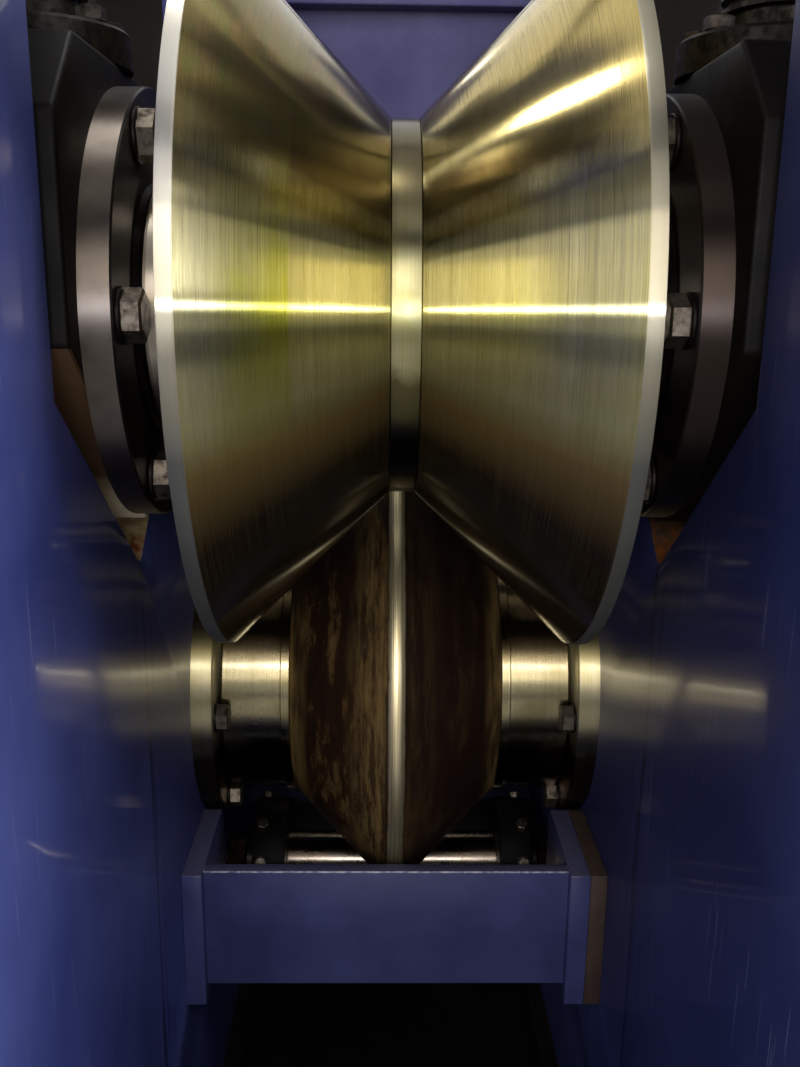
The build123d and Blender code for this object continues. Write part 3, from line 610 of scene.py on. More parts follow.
def cover_plate(node, colours):
    """A turned cover: its edge dark grey from the lathe under oil, its face black with oil."""
    spot = RollSpot(node, UPPER_AXES[1], 1)
    normal = node("SeparateXYZ", [node("NewGeometry").outputs["True Normal"]])
    marks = tool_rings(node, spot, 1.3, 0.8, 3.0)
    pools = mottling(node, 60)
    skin = mottling(node, 2.5, 5.0, 0.7)
    worn = node("Mix", {"Factor": node("MapRange", [pools, 0.35, 0.70]), "A": linear("#7E746A"),
                        "B": linear("#5E544C")}, data_type="RGBA")
    edge = node("Mix", {"Factor": node("MapRange", [spot.along, -0.01, 0.01]), "A": worn,
                        "B": linear("#433A35")}, data_type="RGBA")
    sideways = node("Math", [normal.outputs["X"]], operation="ABSOLUTE")
    turned_edge = node("Math", [node("MapRange", [sideways, 0.2, 0.6, 1.0, 0.0]),
                                node("MapRange", [spot.out, 0.150, 0.155])], operation="MULTIPLY")
    colour = colours.black[:]
    for cover, tint in (
        (node("MapRange", [skin, 0.3, 0.7]), linear("#1A1311")),
        (node("MapRange", [pools, 0.45, 0.70, 0.0, 0.6]), linear("#2A1B14")),
        (turned_edge, edge),
    ):
        colour = node("Mix", {"Factor": cover, "A": colour, "B": tint}, data_type="RGBA")
    return node("BsdfPrincipled", {
        "Base Color": colour,
        "Metallic": node("MapRange", [turned_edge, 0.0, 1.0, 0.0, 0.95]),
        "Specular IOR Level": 0.2,
        "Roughness": node("MapRange", [pools, 0.3, 0.7, 0.42, 0.34]),
        "Anisotropic": 0.85,
        "Anisotropic Rotation": 0.25,
        "Tangent": node("Tangent", direction_type="RADIAL", axis="X"),
        "Normal": node("Bump", {"Height": marks, "Distance": 0.1 * MM, "Strength": 0.4}),
    })


def rusty_plate(node):
    """Hot-rolled packing plate with dry brown rust, darker where oil has soaked in."""
    coarse = mottling(node, 30, 5.0, 0.65)
    fine = mottling(node, 2.5, 4.0, 0.7)
    colour = linear("#1F1410")
    for cover, tint in (
        (node("MapRange", [coarse, 0.3, 0.7]), linear("#392823")),
        (node("MapRange", [fine, 0.50, 0.75, 0.0, 0.6]), linear("#66503F")),
    ):
        colour = node("Mix", {"Factor": cover, "A": colour, "B": tint}, data_type="RGBA")
    return node("BsdfPrincipled", {
        "Base Color": colour,
        "Metallic": 0.1,
        "Roughness": node("MapRange", [fine, 0.3, 0.7, 0.55, 0.80]),
        "Normal": node("Bump", {"Height": fine, "Distance": 0.3 * MM, "Strength": 0.6}),
    })


def fastener_steel(node, bright, grimy, rough):
    """Machined bolt steel: clean where a spanner grips, oil and dirt in the rest."""
    grime = mottling(node, 9)
    return node("BsdfPrincipled", {
        "Base Color": node("Mix", {"Factor": node("MapRange", [grime, 0.42, 0.66]), "A": linear(bright),
                                   "B": linear(grimy)}, data_type="RGBA"),
        "Metallic": 0.9,
        "Roughness": node("MapRange", [grime, 0.3, 0.7, rough, rough + 0.2]),
        "Normal": node("Bump", {"Height": mottling(node, 1.2), "Distance": 0.06 * MM, "Strength": 0.5}),
    })


FINISHES = {}


def finish(name):
    """A finish by name, made the first time that a piece asks for it."""
    if name in FINISHES:
        return FINISHES[name]
    colours = bpy.context.scene.straightener_colours
    upper, lower = UPPER_AXES[1], LOWER_AXES[1]
    beam = (colours.beam_blue[:], colours.beam_faded[:], 0.36, 0.4)
    # The real name of each finish, the function that gives its surface, and what that function is told
    rows = {
        "roll": ("turned_roll_steel", turned_roll_steel, colours),
        "spacer": ("ground_spacer_steel", turned_steel, upper,
                   "#A49E7C", "#8F8962", "#827C3E", "#4C402C", "#524C30", 1.0, 0.32, 0.1),
        "hub": ("turned_hub_steel", turned_steel, upper,
                "#FBF2E4", "#ECDFCC", "#D4BCA0", "#E0D0BA", "#A89484", 1.5, 0.46, 0.2),
        "collar": ("turned_collar_steel", turned_steel, lower,
                   "#B4AA88", "#9C906C", "#84763E", "#5E4A2E", "#4A3024", 1.2, 0.25, 0.1),
        "flange": ("machined_flange_steel", turned_steel, lower,
                   "#D0C6A4", "#B8AC82", "#9C904E", "#8E8054", "#6C5638", 1.6, 0.30, 0.1),
        "bar": ("ground_bright_bar", turned_steel, lower,
                "#F4E2CC", "#E2CEB2", "#B08C6C", "#E2CEB2", "#EAD4BA", 1.0, 0.24, 0.1),
        "scaled": ("scaled_roll_steel", scaled_roll_steel, colours),
        "nose": ("polished_nose_steel", polished_nose),
        "frame": ("side_frame_enamel", frame_enamel, colours),
        "beam": ("beam_enamel", plate_enamel, *beam),
        "cross_plate": ("cross_plate_enamel", plate_enamel, *beam, CROSS_PLATE_TOP),
        "high_beam": ("tie_beam_enamel", plate_enamel, linear("#504E7C"), linear("#646290"), 0.60, 0.2),
        "box": ("gear_box_enamel", plate_enamel, linear("#29336C"), linear("#39458A"), 0.38, 0.5),
        "chock": ("oily_cast_chock", chock_casting, colours),
        "cover": ("turned_cover_oily_face", cover_plate, colours),
        "bed": ("bed_black_paint", oily_casting, "#09080A", "#151215", 0.80, 0.50),
        "block": ("blackened_block", oily_casting, "#060405", "#0F0B0B", 0.62, 0.48),
        "sooty_beam": ("sooty_beam_enamel", sooty_beam, colours),
        "packing": ("rusty_packing_plate", rusty_plate),
        "screw": ("greased_screw_steel", fastener_steel, "#2C2824", "#100D0B", 0.42),
        "bolt": ("bolt_steel", fastener_steel, "#6E6458", "#302822", 0.36),
        "dark_bolt": ("dark_bolt_steel", fastener_steel, "#3E3832", "#1A1613", 0.40),
        "washer": ("oily_washer_steel", fastener_steel, "#2A2421", "#120E0C", 0.34),
        "rusty_nut": ("rusty_nut_steel", fastener_steel, "#2E1A14", "#150D0A", 0.60),
    }
    real_name, maker, *told = rows[name]
    material, node = new_finish(real_name)
    node("OutputMaterial", {"Surface": maker(node, *told)})
    FINISHES[name] = material
    return material


# Ways of modelling

def alone(obj):
    """Makes one object active, with nothing else selected."""
    bpy.ops.object.select_all(action="DESELECT")
    obj.select_set(True)
    bpy.context.view_layer.objects.active = obj
    return obj


def edit(obj):
    """Goes into edit mode on one object, with all of it selected."""
    alone(obj)
    bpy.ops.object.mode_set(mode="EDIT")
    bpy.ops.mesh.select_all(action="SELECT")


def edit_faces(obj, wanted):
    """Goes into edit mode with only the faces selected that answer a test on their polygon."""
    edit(obj)
    bpy.ops.mesh.select_mode(type="FACE")
    bpy.ops.mesh.select_all(action="DESELECT")
    bpy.ops.object.mode_set(mode="OBJECT")
    for face in obj.data.polygons:
        face.select = wanted(face)
    bpy.ops.object.mode_set(mode="EDIT")


def leave_edit():
    """Goes back to object mode."""
    bpy.ops.mesh.select_mode(type="VERT")
    bpy.ops.object.mode_set(mode="OBJECT")


def close_shell():
    """In edit mode, merges doubles and turns every face outwards."""
    bpy.ops.mesh.select_all(action="SELECT")
    bpy.ops.mesh.remove_doubles(threshold=1e-5)
    bpy.ops.mesh.normals_make_consistent(inside=False)


def apply_modifier(obj, name, kind, **settings):
    """Adds a modifier with its settings and applies it."""
    alone(obj)
    modifier = obj.modifiers.new(name, kind)
    for setting, value in settings.items():
        setattr(modifier, setting, value)
    bpy.ops.object.modifier_apply(modifier=modifier.name)
    return obj


def eased(obj, width, segments=2, angle=40):
    """Rounds off the edges that are sharper than an angle."""
    return apply_modifier(obj, "Eased edges", "BEVEL", width=width, segments=segments, limit_method="ANGLE",
                          angle_limit=math.radians(angle))


def drawn(points):
    """A line of (x, height) points, drawn by extruding one point to the next. It stays in edit mode."""
    first = (points[0][0], 0, points[0][1])
    bpy.ops.object.select_all(action="DESELECT")
    bpy.ops.mesh.primitive_plane_add(size=1, location=first)
    line = bpy.context.active_object
    bpy.ops.object.transform_apply(location=True)
    edit(line)
    bpy.ops.mesh.merge(type="CENTER")
    for (x, height), (next_x, next_height) in zip(points, points[1:]):
        step = (next_x - x, 0, next_height - height)
        bpy.ops.mesh.extrude_region_move(TRANSFORM_OT_translate={"value": step})
    return line


def turned(points, steps, ease=0.0):
    """A part turned round the X axis from its half outline of (x, radius) points."""
    ends = [] if points[0][1] == 0 and points[-1][1] == 0 else points[:1]
    part = drawn([*points, *ends])
    bpy.ops.mesh.select_all(action="SELECT")
    bpy.ops.mesh.spin(steps=steps, angle=2 * math.pi, center=(0, 0, 0), axis=(1, 0, 0))
    close_shell()
    leave_edit()
    if ease:
        eased(part, ease)
    return part


def other_side(points):
    """An outline carried over to the other side of the middle."""
    return [(-x, radius) for x, radius in reversed(points)]


def joined(parts):
    """Several objects made one."""
    bpy.ops.object.select_all(action="DESELECT")
    for part in parts:
        part.select_set(True)
    bpy.context.view_layer.objects.active = parts[0]
    if len(parts) > 1:
        bpy.ops.object.join()
    return parts[0]


def copied(model, places):
    """Copies of a model, each with its own mesh, put in their places and made one piece."""
    copies = []
    for place in places:
        copy = model.copy()
        copy.data = model.data.copy()
        copy.data.transform(place)
        if place.is_negative:
            copy.data.flip_normals()
        bpy.context.scene.collection.objects.link(copy)
        copies.append(copy)
    return joined(copies)


def drop(*models):
    """Removes models that have been copied."""
    for model in models:
        mesh = model.data
        bpy.data.objects.remove(model)
        bpy.data.meshes.remove(mesh)


def both_sides(y=0.0, z=0.0):
    """The place of a right-hand part on a line along X, and its mirror image on the left."""
    right = Matrix.Translation((0, y, z))
    return [right, right @ Matrix.Scale(-1, 4, (1, 0, 0))]


def facing(direction, point, turn=0.0):
    """The place of a bolt that stands on a point and looks along a direction, turned about itself."""
    aim = Vector(direction).to_track_quat("Z", "Y").to_matrix().to_4x4()
    return Matrix.Translation(point) @ aim @ Matrix.Rotation(turn, 4, "Z")


def bolt_circle(x, side, y, z, radius, count, first=0.0):
    """Places of bolts round a line along X, on a face that looks along side."""
    places = []
    for i in range(count):
        angle = first + 2 * math.pi * i / count
        point = (x, y - radius * math.cos(angle), z + radius * math.sin(angle))
        places.append(facing((side, 0, 0), point, 0.35 * i))
    return places


def cuboid(middle, size):
    """A box of one size round its middle."""
    bpy.ops.object.select_all(action="DESELECT")
    bpy.ops.mesh.primitive_cube_add(size=1, location=middle, scale=size)
    bpy.ops.object.transform_apply(location=True, scale=True)
    return bpy.context.active_object


def prism(corners, radius, low, height):
    """An upright prism in the middle of the model, from a low end up."""
    bpy.ops.object.select_all(action="DESELECT")
    bpy.ops.mesh.primitive_cylinder_add(vertices=corners, radius=radius, depth=height,
                                        location=(0, 0, low + height / 2))
    bpy.ops.object.transform_apply(location=True)
    return bpy.context.active_object


def hex_head(flats, height, washer, washer_thick, name):
    """A hexagon head with its corners turned off, and its washer, both standing on the floor of the model."""
    corner = flats / 2 / math.cos(math.radians(30))
    head = prism(6, corner, washer_thick, height)
    edit_faces(head, lambda face: face.normal.z > 0.9)
    turned_off = 0.13
    bpy.ops.mesh.inset(thickness=corner * turned_off)
    bpy.ops.transform.translate(value=(0, 0, height * turned_off))
    leave_edit()
    disc = eased(prism(24, washer / 2, 0, washer_thick), washer_thick * 0.25, 1)
    head.data.materials.append(finish(name))
    disc.data.materials.append(finish("washer"))
    return joined([head, disc])


def settled(obj, name, look, body, slot, nodes=(), degrees=30):
    """Names a finished piece, gives it its finish, hangs it on the body that it moves with, and hides the
    pieces of the frame that it stands in for.
    """
    alone(obj)
    obj.name = name
    obj.data.name = name
    if look:
        obj.data.materials.clear()
        obj.data.materials.append(finish(look))
    bpy.ops.object.shade_smooth_by_angle(angle=math.radians(degrees))
    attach(obj, body)
    if nodes:
        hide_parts(*nodes)
    return obj


def placed(model, places, *words):
    """Copies of a model in their places, settled as one piece."""
    return settled(copied(model, places), *words)


def eased_copy(node, width):
    """A copy of a flat-sided piece of the frame, its loose triangles merged and its edges eased."""
    copy = frame["nodes"][node].copy()
    copy.data = frame["nodes"][node].data.copy()
    copy.parent = None
    for key in list(copy.keys()):
        del copy[key]
    bpy.context.scene.collection.objects.link(copy)
    edit(copy)
    bpy.ops.mesh.remove_doubles(threshold=1e-5)
    bpy.ops.mesh.dissolve_limited(angle_limit=math.radians(1))
    bpy.ops.object.mode_set(mode="OBJECT")
    return eased(copy, width)


# Upper rolls

UPPER_HALF = reach("upper_roll_1_cones", X)
SPACER_HALF = reach("upper_roll_1_spacer", X)
SPACER_RADIUS = half("upper_roll_1_spacer", Z)
HUB_RADIUS = half("upper_roll_1_shaft", Z)
# The chocks stand out of the wall by the same amount inside and outside, under an outer cover of 25 mm
CHOCK_IN = WALL_IN - (reach("upper_chocks_1", X) - WALL_OUT - 25 * MM)
CHOCK_OUT = WALL_OUT + WALL_IN - CHOCK_IN
# Seam between the parts of a roll, so that it shows as a fine dark line
SEAM = 0.4 * MM


def keyed_shaft(right, journal_end, bore, rolls, bearings):
    """A shaft, from the outline of its right half between the journals. It ends blind on the left. On the
    right it runs through its outer cover as a seal land, to a drive end with a key seat."""
    land_end = CHOCK_OUT + bearings.outer_thick + rolls.land_proud
    chamfer = rolls.drive_chamfer
    shaft = turned([
        (-journal_end, 0),
        (-journal_end, bore),
        *other_side(right),
        *right,
        (journal_end, bore),
        (journal_end, rolls.land_radius),
        (land_end, rolls.land_radius),
        (land_end, rolls.drive_radius),
        (DRIVE_END - chamfer, rolls.drive_radius),
        (DRIVE_END, rolls.drive_radius - chamfer),
        (DRIVE_END, 0),
    ], rolls.circle_steps)
    past = 10 * MM
    size = (rolls.key_length + past, rolls.key_width, 2 * rolls.key_depth)
    cutter = cuboid((DRIVE_END + past - size[0] / 2, 0, rolls.drive_radius), size)
    cutter.data.transform(Matrix.Rotation(rolls.key_angle, 4, "X"))
    apply_modifier(shaft, "Key seat", "BOOLEAN", operation="DIFFERENCE", solver="EXACT", object=cutter)
    drop(cutter)
    return shaft


class StraightenerUpperRolls(bpy.types.Operator):
    """Builds the upper V rolls with their spacer rings and keyed shafts."""

    bl_idname = "straightener.upper_rolls"
    bl_label = "Upper rolls"

    def execute(self, context):
        rolls = context.scene.straightener_rolls
        bearings = context.scene.straightener_bearings
        rim = UPPER_HALF - rolls.rim_width
        cone = turned([
            (SPACER_HALF, rolls.upper_bore),
            (SPACER_HALF, UPPER_RADIUS - (rim - SPACER_HALF)),
            (rim, UPPER_RADIUS),
            (UPPER_HALF, UPPER_RADIUS),
            (UPPER_HALF, rolls.upper_bore),
        ], rolls.circle_steps, rolls.edge_ease)
        ring_half = SPACER_HALF - SEAM
        ring = turned([
            (-ring_half, rolls.upper_bore),
            (-ring_half, SPACER_RADIUS),
            (ring_half, SPACER_RADIUS),
            (ring_half, rolls.upper_bore),
        ], rolls.circle_steps, rolls.edge_ease)
        shaft = self.shaft(rolls, bearings)
        for k, (y, z) in UPPER_AXES.items():
            body = f"upper_roll_{k}"
            here = [Matrix.Translation((0, y, z))]
            placed(cone, both_sides(y, z), f"{body}_groove_faces", "roll", body, "roll_steel",
                   [f"{body}_cones"])
            placed(ring, here, f"{body}_spacer_ring", "spacer", body, "ring_steel", [f"{body}_spacer"])
            placed(shaft, here, f"{body}_turned_shaft", "hub", body, "shaft_steel", [f"{body}_shaft"])
        drop(cone, ring, shaft)
        return {"FINISHED"}

    def shaft(self, rolls, bearings):
        """The shaft, with a hub collar on each side of the roll."""
        hub_end = CHOCK_IN - bearings.cover_thick - rolls.run_clear
        chamfer = rolls.hub_chamfer
        right = [
            (UPPER_HALF + SEAM, rolls.upper_bore),
            (UPPER_HALF + SEAM, HUB_RADIUS),
            (hub_end - chamfer, HUB_RADIUS),
            (hub_end, HUB_RADIUS - chamfer),
            (hub_end, rolls.upper_bore),
        ]
        return keyed_shaft(right, CHOCK_OUT - rolls.run_clear, rolls.upper_bore, rolls, bearings)


# Lower rolls

NOSE_RADIUS = half("lower_roll_1_nose_ring", Z)
NOSE_HALF = reach("lower_roll_1_nose_ring", X)
LOWER_HALF = reach("lower_roll_1_cones", X)
CLAMP_RADIUS = half("lower_roll_1_shaft", Z)
LOWER_COVER_OUT = reach("lower_end_covers", X)
LOWER_COVER_RADIUS = half("lower_end_covers", Z)


class StraightenerLowerRolls(bpy.types.Operator):
    """Builds the lower convex rolls with their nose rings, collars and keyed shafts."""

    bl_idname = "straightener.lower_rolls"
    bl_label = "Lower rolls"

    def execute(self, context):
        rolls = context.scene.straightener_rolls
        bearings = context.scene.straightener_bearings
        large = NOSE_RADIUS - rolls.nose_step
        cone = turned([
            (NOSE_HALF, rolls.lower_bore),
            (NOSE_HALF, large),
            (LOWER_HALF, large - (LOWER_HALF - NOSE_HALF)),
            (LOWER_HALF, rolls.lower_bore),
        ], rolls.circle_steps, rolls.edge_ease)
        nose = turned(self.crowned(large, rolls), rolls.circle_steps)
        shaft = self.shaft(rolls, bearings)
        for k, (y, z) in LOWER_AXES.items():
            body = f"lower_roll_{k}"
            here = [Matrix.Translation((0, y, z))]
            placed(cone, both_sides(y, z), f"{body}_cone_faces", "scaled", body, "scaled_roll",
                   [f"{body}_cones"])
            placed(nose, here, f"{body}_polished_nose", "nose", body, "nose_steel", [f"{body}_nose_ring"])
            placed(shaft, here, f"{body}_turned_shaft", "collar", body, "shaft_steel", [f"{body}_shaft"])
        drop(cone, nose, shaft)
        return {"FINISHED"}

    def crowned(self, large, rolls):
        """Outline of the nose ring, whose edge is a low arch."""
        half_width = NOSE_HALF - SEAM
        steps = 10
        arch = []
        for i in range(steps + 1):
            share = 2 * i / steps - 1
            arch.append((share * half_width, large + rolls.nose_step * (1 - share ** 2)))
        return [(-half_width, rolls.lower_bore), *arch, (half_width, rolls.lower_bore)]

    def shaft(self, rolls, bearings):
        """The shaft, with a thin clamp ring and a wide collar on each side of the roll."""
        ring_end = LOWER_HALF + rolls.clamp_width
        collar_end = WALL_IN - bearings.flange_thick - rolls.run_clear
        ease = rolls.edge_ease
        right = [
            (LOWER_HALF + SEAM, rolls.lower_bore),
            (LOWER_HALF + SEAM, CLAMP_RADIUS - ease),
            (LOWER_HALF + SEAM + ease, CLAMP_RADIUS),
            (ring_end - ease, CLAMP_RADIUS),
            (ring_end, CLAMP_RADIUS - ease),
            (ring_end, rolls.collar_radius),
            (collar_end - 2 * ease, rolls.collar_radius),
            (collar_end, rolls.collar_radius - 2 * ease),
            (collar_end, rolls.lower_bore),
        ]
        return keyed_shaft(right, WALL_OUT - rolls.run_clear, rolls.lower_bore, rolls, bearings)


# Chocks, covers and bearing flanges

CHOCK_HALF = half("upper_chocks_1", Y)
CHOCK_TOP = reach("upper_chocks_1", Z)
# The V foot of a chock lies along the slopes of the window, which fall by 182 mm on 220 mm
WINDOW_SLOPE = math.atan2(182, 220)
# Gap round a journal in its plain bore
BORE_CLEAR = 0.3 * MM
# Share of an outer cover's radius at which its raised rim begins
COVER_STEP = 0.68
# Bolts of an outer cover: how many, and the turn of the first, in radians
OUTER_BOLTS = (8, 0.2)


def stepped_covers(low, high, radius, rolls, bearings):
    """Both outer covers of a roll: bored for the seal land on the right, blind on the left."""
    edge = bearings.outer_edge
    disc = [
        (low, radius),
        (high - edge, radius),
        (high, radius - edge),
        (high, COVER_STEP * radius),
        (high - edge, COVER_STEP * radius - edge),
    ]
    bore = rolls.land_radius + BORE_CLEAR
    right = turned([(low, bore), *disc, (high - edge, bore)], rolls.circle_steps)
    left = turned(other_side([(low, 0), *disc, (high - edge, 0)]), rolls.circle_steps)
    return joined([right, left])


class StraightenerChocks(bpy.types.Operator):
    """Builds the dark chocks of the upper rolls with their round covers and bolts."""

    bl_idname = "straightener.chocks"
    bl_label = "Upper chocks"

    def execute(self, context):
        rolls = context.scene.straightener_rolls
        bearings = context.scene.straightener_bearings
        block = self.block(bearings)
        cover = self.inner_cover(rolls, bearings)
        outer_face = CHOCK_OUT + bearings.outer_thick
        outer = stepped_covers(CHOCK_OUT, outer_face, bearings.outer_radius, rolls, bearings)
        bolt = hex_head(bearings.bolt_flats, bearings.bolt_head, bearings.bolt_flats * 1.22, 4 * MM, "bolt")
        inner_face = CHOCK_IN - bearings.cover_thick
        bolts_out = bearings.outer_radius - 25 * MM
        for k, (y, z) in UPPER_AXES.items():
            unit = f"upper_unit_{k}"
            placed(block, both_sides(y, 0), f"chock_blocks_{k}", "chock", unit, "chock_black",
                   [f"upper_chocks_{k}"])
            placed(cover, both_sides(y, z), f"chock_inner_covers_{k}", "cover", unit, "chock_black")
            placed(outer, [Matrix.Translation((0, y, z))], f"chock_outer_covers_{k}", "cover", unit,
                   "chock_black")
            places = []
            for side in (-1, 1):
                places += bolt_circle(side * inner_face, -side, y, z, bearings.cover_bolts, 6)
                places += bolt_circle(side * outer_face, side, y, z, bolts_out, *OUTER_BOLTS)
            placed(bolt, places, f"chock_bolts_{k}", None, unit, "screw_steel")
        drop(block, cover, outer, bolt)
        return {"FINISHED"}

    def block(self, bearings):
        """The right chock: a block cut to a V foot below and to two shoulders above."""
        block = cuboid(((CHOCK_IN + CHOCK_OUT) / 2, 0, (CHOCK_LOW + CHOCK_TOP) / 2),
                       (CHOCK_OUT - CHOCK_IN, 2 * CHOCK_HALF, CHOCK_TOP - CHOCK_LOW))
        for side in (-1, 1):
            foot = (0, side * math.sin(WINDOW_SLOPE), -math.cos(WINDOW_SLOPE))
            shoulder = (0, side, 1)
            corner = (0, side * (CHOCK_HALF - bearings.shoulder), CHOCK_TOP)
            for point, normal in (((0, 0, CHOCK_LOW), foot), (corner, shoulder)):
                edit(block)
                bpy.ops.mesh.bisect(plane_co=point, plane_no=normal, use_fill=True, clear_outer=True)
                close_shell()
                leave_edit()
        return eased(block, bearings.block_ease, 3, 25)

    def inner_cover(self, rolls, bearings):
        """The right inner cover, with a seal groove round the shaft and an eased outer edge."""
        face = CHOCK_IN - bearings.cover_thick
        bore = rolls.upper_bore + BORE_CLEAR
        groove = bearings.cover_groove
        slope = 4 * MM
        inner = HUB_RADIUS - 5 * MM
        outer = HUB_RADIUS + 13 * MM
        ease = bearings.cover_ease
        return turned([
            (face, bore),
            (face, inner - slope),
            (face + groove, inner),
            (face + groove, outer),
            (face, outer + slope),
            (face, bearings.cover_radius - ease),
            (face + ease, bearings.cover_radius),
            (CHOCK_IN, bearings.cover_radius),
            (CHOCK_IN, bore),
        ], rolls.circle_steps)


class StraightenerLowerBearings(bpy.types.Operator):
    """Builds the flanged housings and outer covers of the lower bearings, with their bolts."""

    bl_idname = "straightener.lower_bearings"
    bl_label = "Lower bearings"

    def execute(self, context):
        rolls = context.scene.straightener_rolls
        bearings = context.scene.straightener_bearings
        face = WALL_IN - bearings.flange_thick
        edge = 2 * MM
        journal_bore = rolls.lower_bore + BORE_CLEAR
        housing = turned([
            (face, journal_bore),
            (face, bearings.flange_radius - edge),
            (face + edge, bearings.flange_radius),
            (WALL_IN, bearings.flange_radius),
            (WALL_IN, bearings.barrel_radius),
            (WALL_OUT, bearings.barrel_radius),
            (WALL_OUT, journal_bore),
        ], rolls.circle_steps)
        covers = stepped_covers(WALL_OUT, LOWER_COVER_OUT, LOWER_COVER_RADIUS, rolls, bearings)
        flats = bearings.flange_bolt_flats
        bolt = hex_head(flats, bearings.bolt_head, flats * 1.2, 3 * MM, "bolt")
        bolts_out = LOWER_COVER_RADIUS - 27 * MM
        places = []
        flanges = []
        pairs = []
        for y, z in LOWER_AXES.values():
            flanges += both_sides(y, z)
            pairs.append(Matrix.Translation((0, y, z)))
            for side in (-1, 1):
                places += bolt_circle(side * face, -side, y, z, bearings.flange_bolts, 6)
                places += bolt_circle(side * LOWER_COVER_OUT, side, y, z, bolts_out, *OUTER_BOLTS)
        placed(housing, flanges, "lower_bearing_flanges", "flange", "frame", "housing_steel",
               ["lower_bearing_housings"])
        placed(covers, pairs, "lower_outer_covers", "cover", "frame", "chock_black", ["lower_end_covers"])
        placed(bolt, places, "lower_bearing_bolts", None, "frame", "screw_steel")
        drop(housing, covers, bolt)
        return {"FINISHED"}


# Plates, beams and bars

BAR_Y = (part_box("tie_bar_blocks")[0][Y] + half("tie_bar_blocks", Z)) - LOWER_AXES[1][0]
BAR_Z = (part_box("tie_bar_blocks")[0][Z] + reach("tie_bar_blocks", Z)) / 2
BLOCK_RADIUS = half("tie_bar_blocks", Z)
BLOCK_OUT = reach("tie_bar_blocks", X)
BLOCK_THICK = 48 * MM
# Small turned bars have their edges eased by this much
BAR_EASE = 0.8 * MM
# Angles up round a tie bar block, in degrees, at which its small bolts stand
BLOCK_BOLTS = (28, 62, 118, 152)
# Height of the bolts of the tie beams, and how far they stand from their middle along and up
UPPER_BEAM_BOLTS = (1505 * MM, 32 * MM, 45 * MM)
LOWER_BEAM_BOLTS = (290 * MM, 60 * MM, 60 * MM)


class StraightenerPlates(bpy.types.Operator):
    """Gives the frames, beams, plates and base their eased edges and enamel, and bolts the beams on."""

    bl_idname = "straightener.plates"
    bl_label = "Frames, beams and plates"

    def execute(self, context):
        plates = context.scene.straightener_plates
        thick, thin = plates.plate_ease, plates.thin_ease
        rows = [
            ("side_frame_left", "painted", "frame", thick, "frame_blue"),
            ("side_frame_right", "painted", "frame", thick, "frame_blue"),
            ("upper_tie_beams", "painted", "high_beam", thick, "beam_blue"),
            ("lower_tie_beams", "painted", "sooty_beam", thin, "beam_blue"),
            ("cap_plates", "painted", "beam", thick, "beam_blue"),
            ("cross_plates", "painted", "cross_plate", thin, "beam_blue"),
            ("plate_cheeks_left", "painted", "beam", thin, "beam_blue"),
            ("plate_cheeks_right", "painted", "beam", thin, "beam_blue"),
            ("packing_plates", "rusty", "packing", thin, "rusty_plate"),
            ("base_rails", "painted", "bed", thick, "bed_black"),
            ("base_sleepers", "painted", "bed", thick, "bed_black"),
            ("scale_trough", "painted", "bed", thin, "bed_black"),
        ]
        for node, kind, look, width, slot in rows:
            settled(eased_copy(node, width), f"{node}_{kind}", look, "frame", slot, [node])
        self.beam_bolts(plates)
        self.end_bars(plates)
        return {"FINISHED"}

    def beam_bolts(self, plates):
        """Bolts on the outer faces of the side frames, at the end of each tie beam."""
        bolt = hex_head(plates.beam_bolt_flats, 18 * MM, plates.beam_bolt_flats * 1.25, 4 * MM, "dark_bolt")
        places = []
        lower_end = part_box("lower_tie_beams")[0][Y] + 100 * MM
        between = [y for y, z in UPPER_AXES.values()][1:-1]
        rows = [(y, *UPPER_BEAM_BOLTS) for y, z in LOWER_AXES.values()]
        rows += [(y, *LOWER_BEAM_BOLTS) for y in (lower_end, *between, -lower_end)]
        for y, z, along, up in rows:
            for side in (-1, 1):
                for dy in (-along, along):
                    for dz in (-up, up):
                        point = (side * WALL_OUT, y + dy, z + dz)
                        places.append(facing((side, 0, 0), point, 9 * dy + 5 * dz))
        placed(bolt, places, "tie_beam_bolts", None, "frame", "screw_steel")
        drop(bolt)

    def end_bars(self, plates):
        """Round bars across both ends of the machine, shouldered on the frames and held by nuts outside."""
        radius = half("end_tie_bars", Z)
        step = 3 * MM
        shoulder = 40 * MM
        outline = [
            (-WALL_IN, 0),
            (-WALL_IN, radius),
            (-WALL_IN + shoulder, radius),
            (-WALL_IN + shoulder + step, radius - step),
        ]
        bar = turned([*outline, *other_side(outline)], plates.small_steps, BAR_EASE)
        nut = hex_head(2 * radius, 40 * MM, 2.6 * radius, 8 * MM, "dark_bolt")
        end = reach("end_tie_bars", Y) - radius
        height = reach("end_tie_bars", Z) - radius
        bars = [Matrix.Translation((0, y, height)) for y in (-end, end)]
        nuts = [facing((side, 0, 0), (side * WALL_OUT, y, height), 0.2)
                for side in (-1, 1) for y in (-end, end)]
        placed(bar, bars, "end_tie_bars_painted", "beam", "frame", "beam_blue", ["end_tie_bars"])
        placed(nut, nuts, "end_tie_bar_nuts", None, "frame", "screw_steel")
        drop(bar, nut)


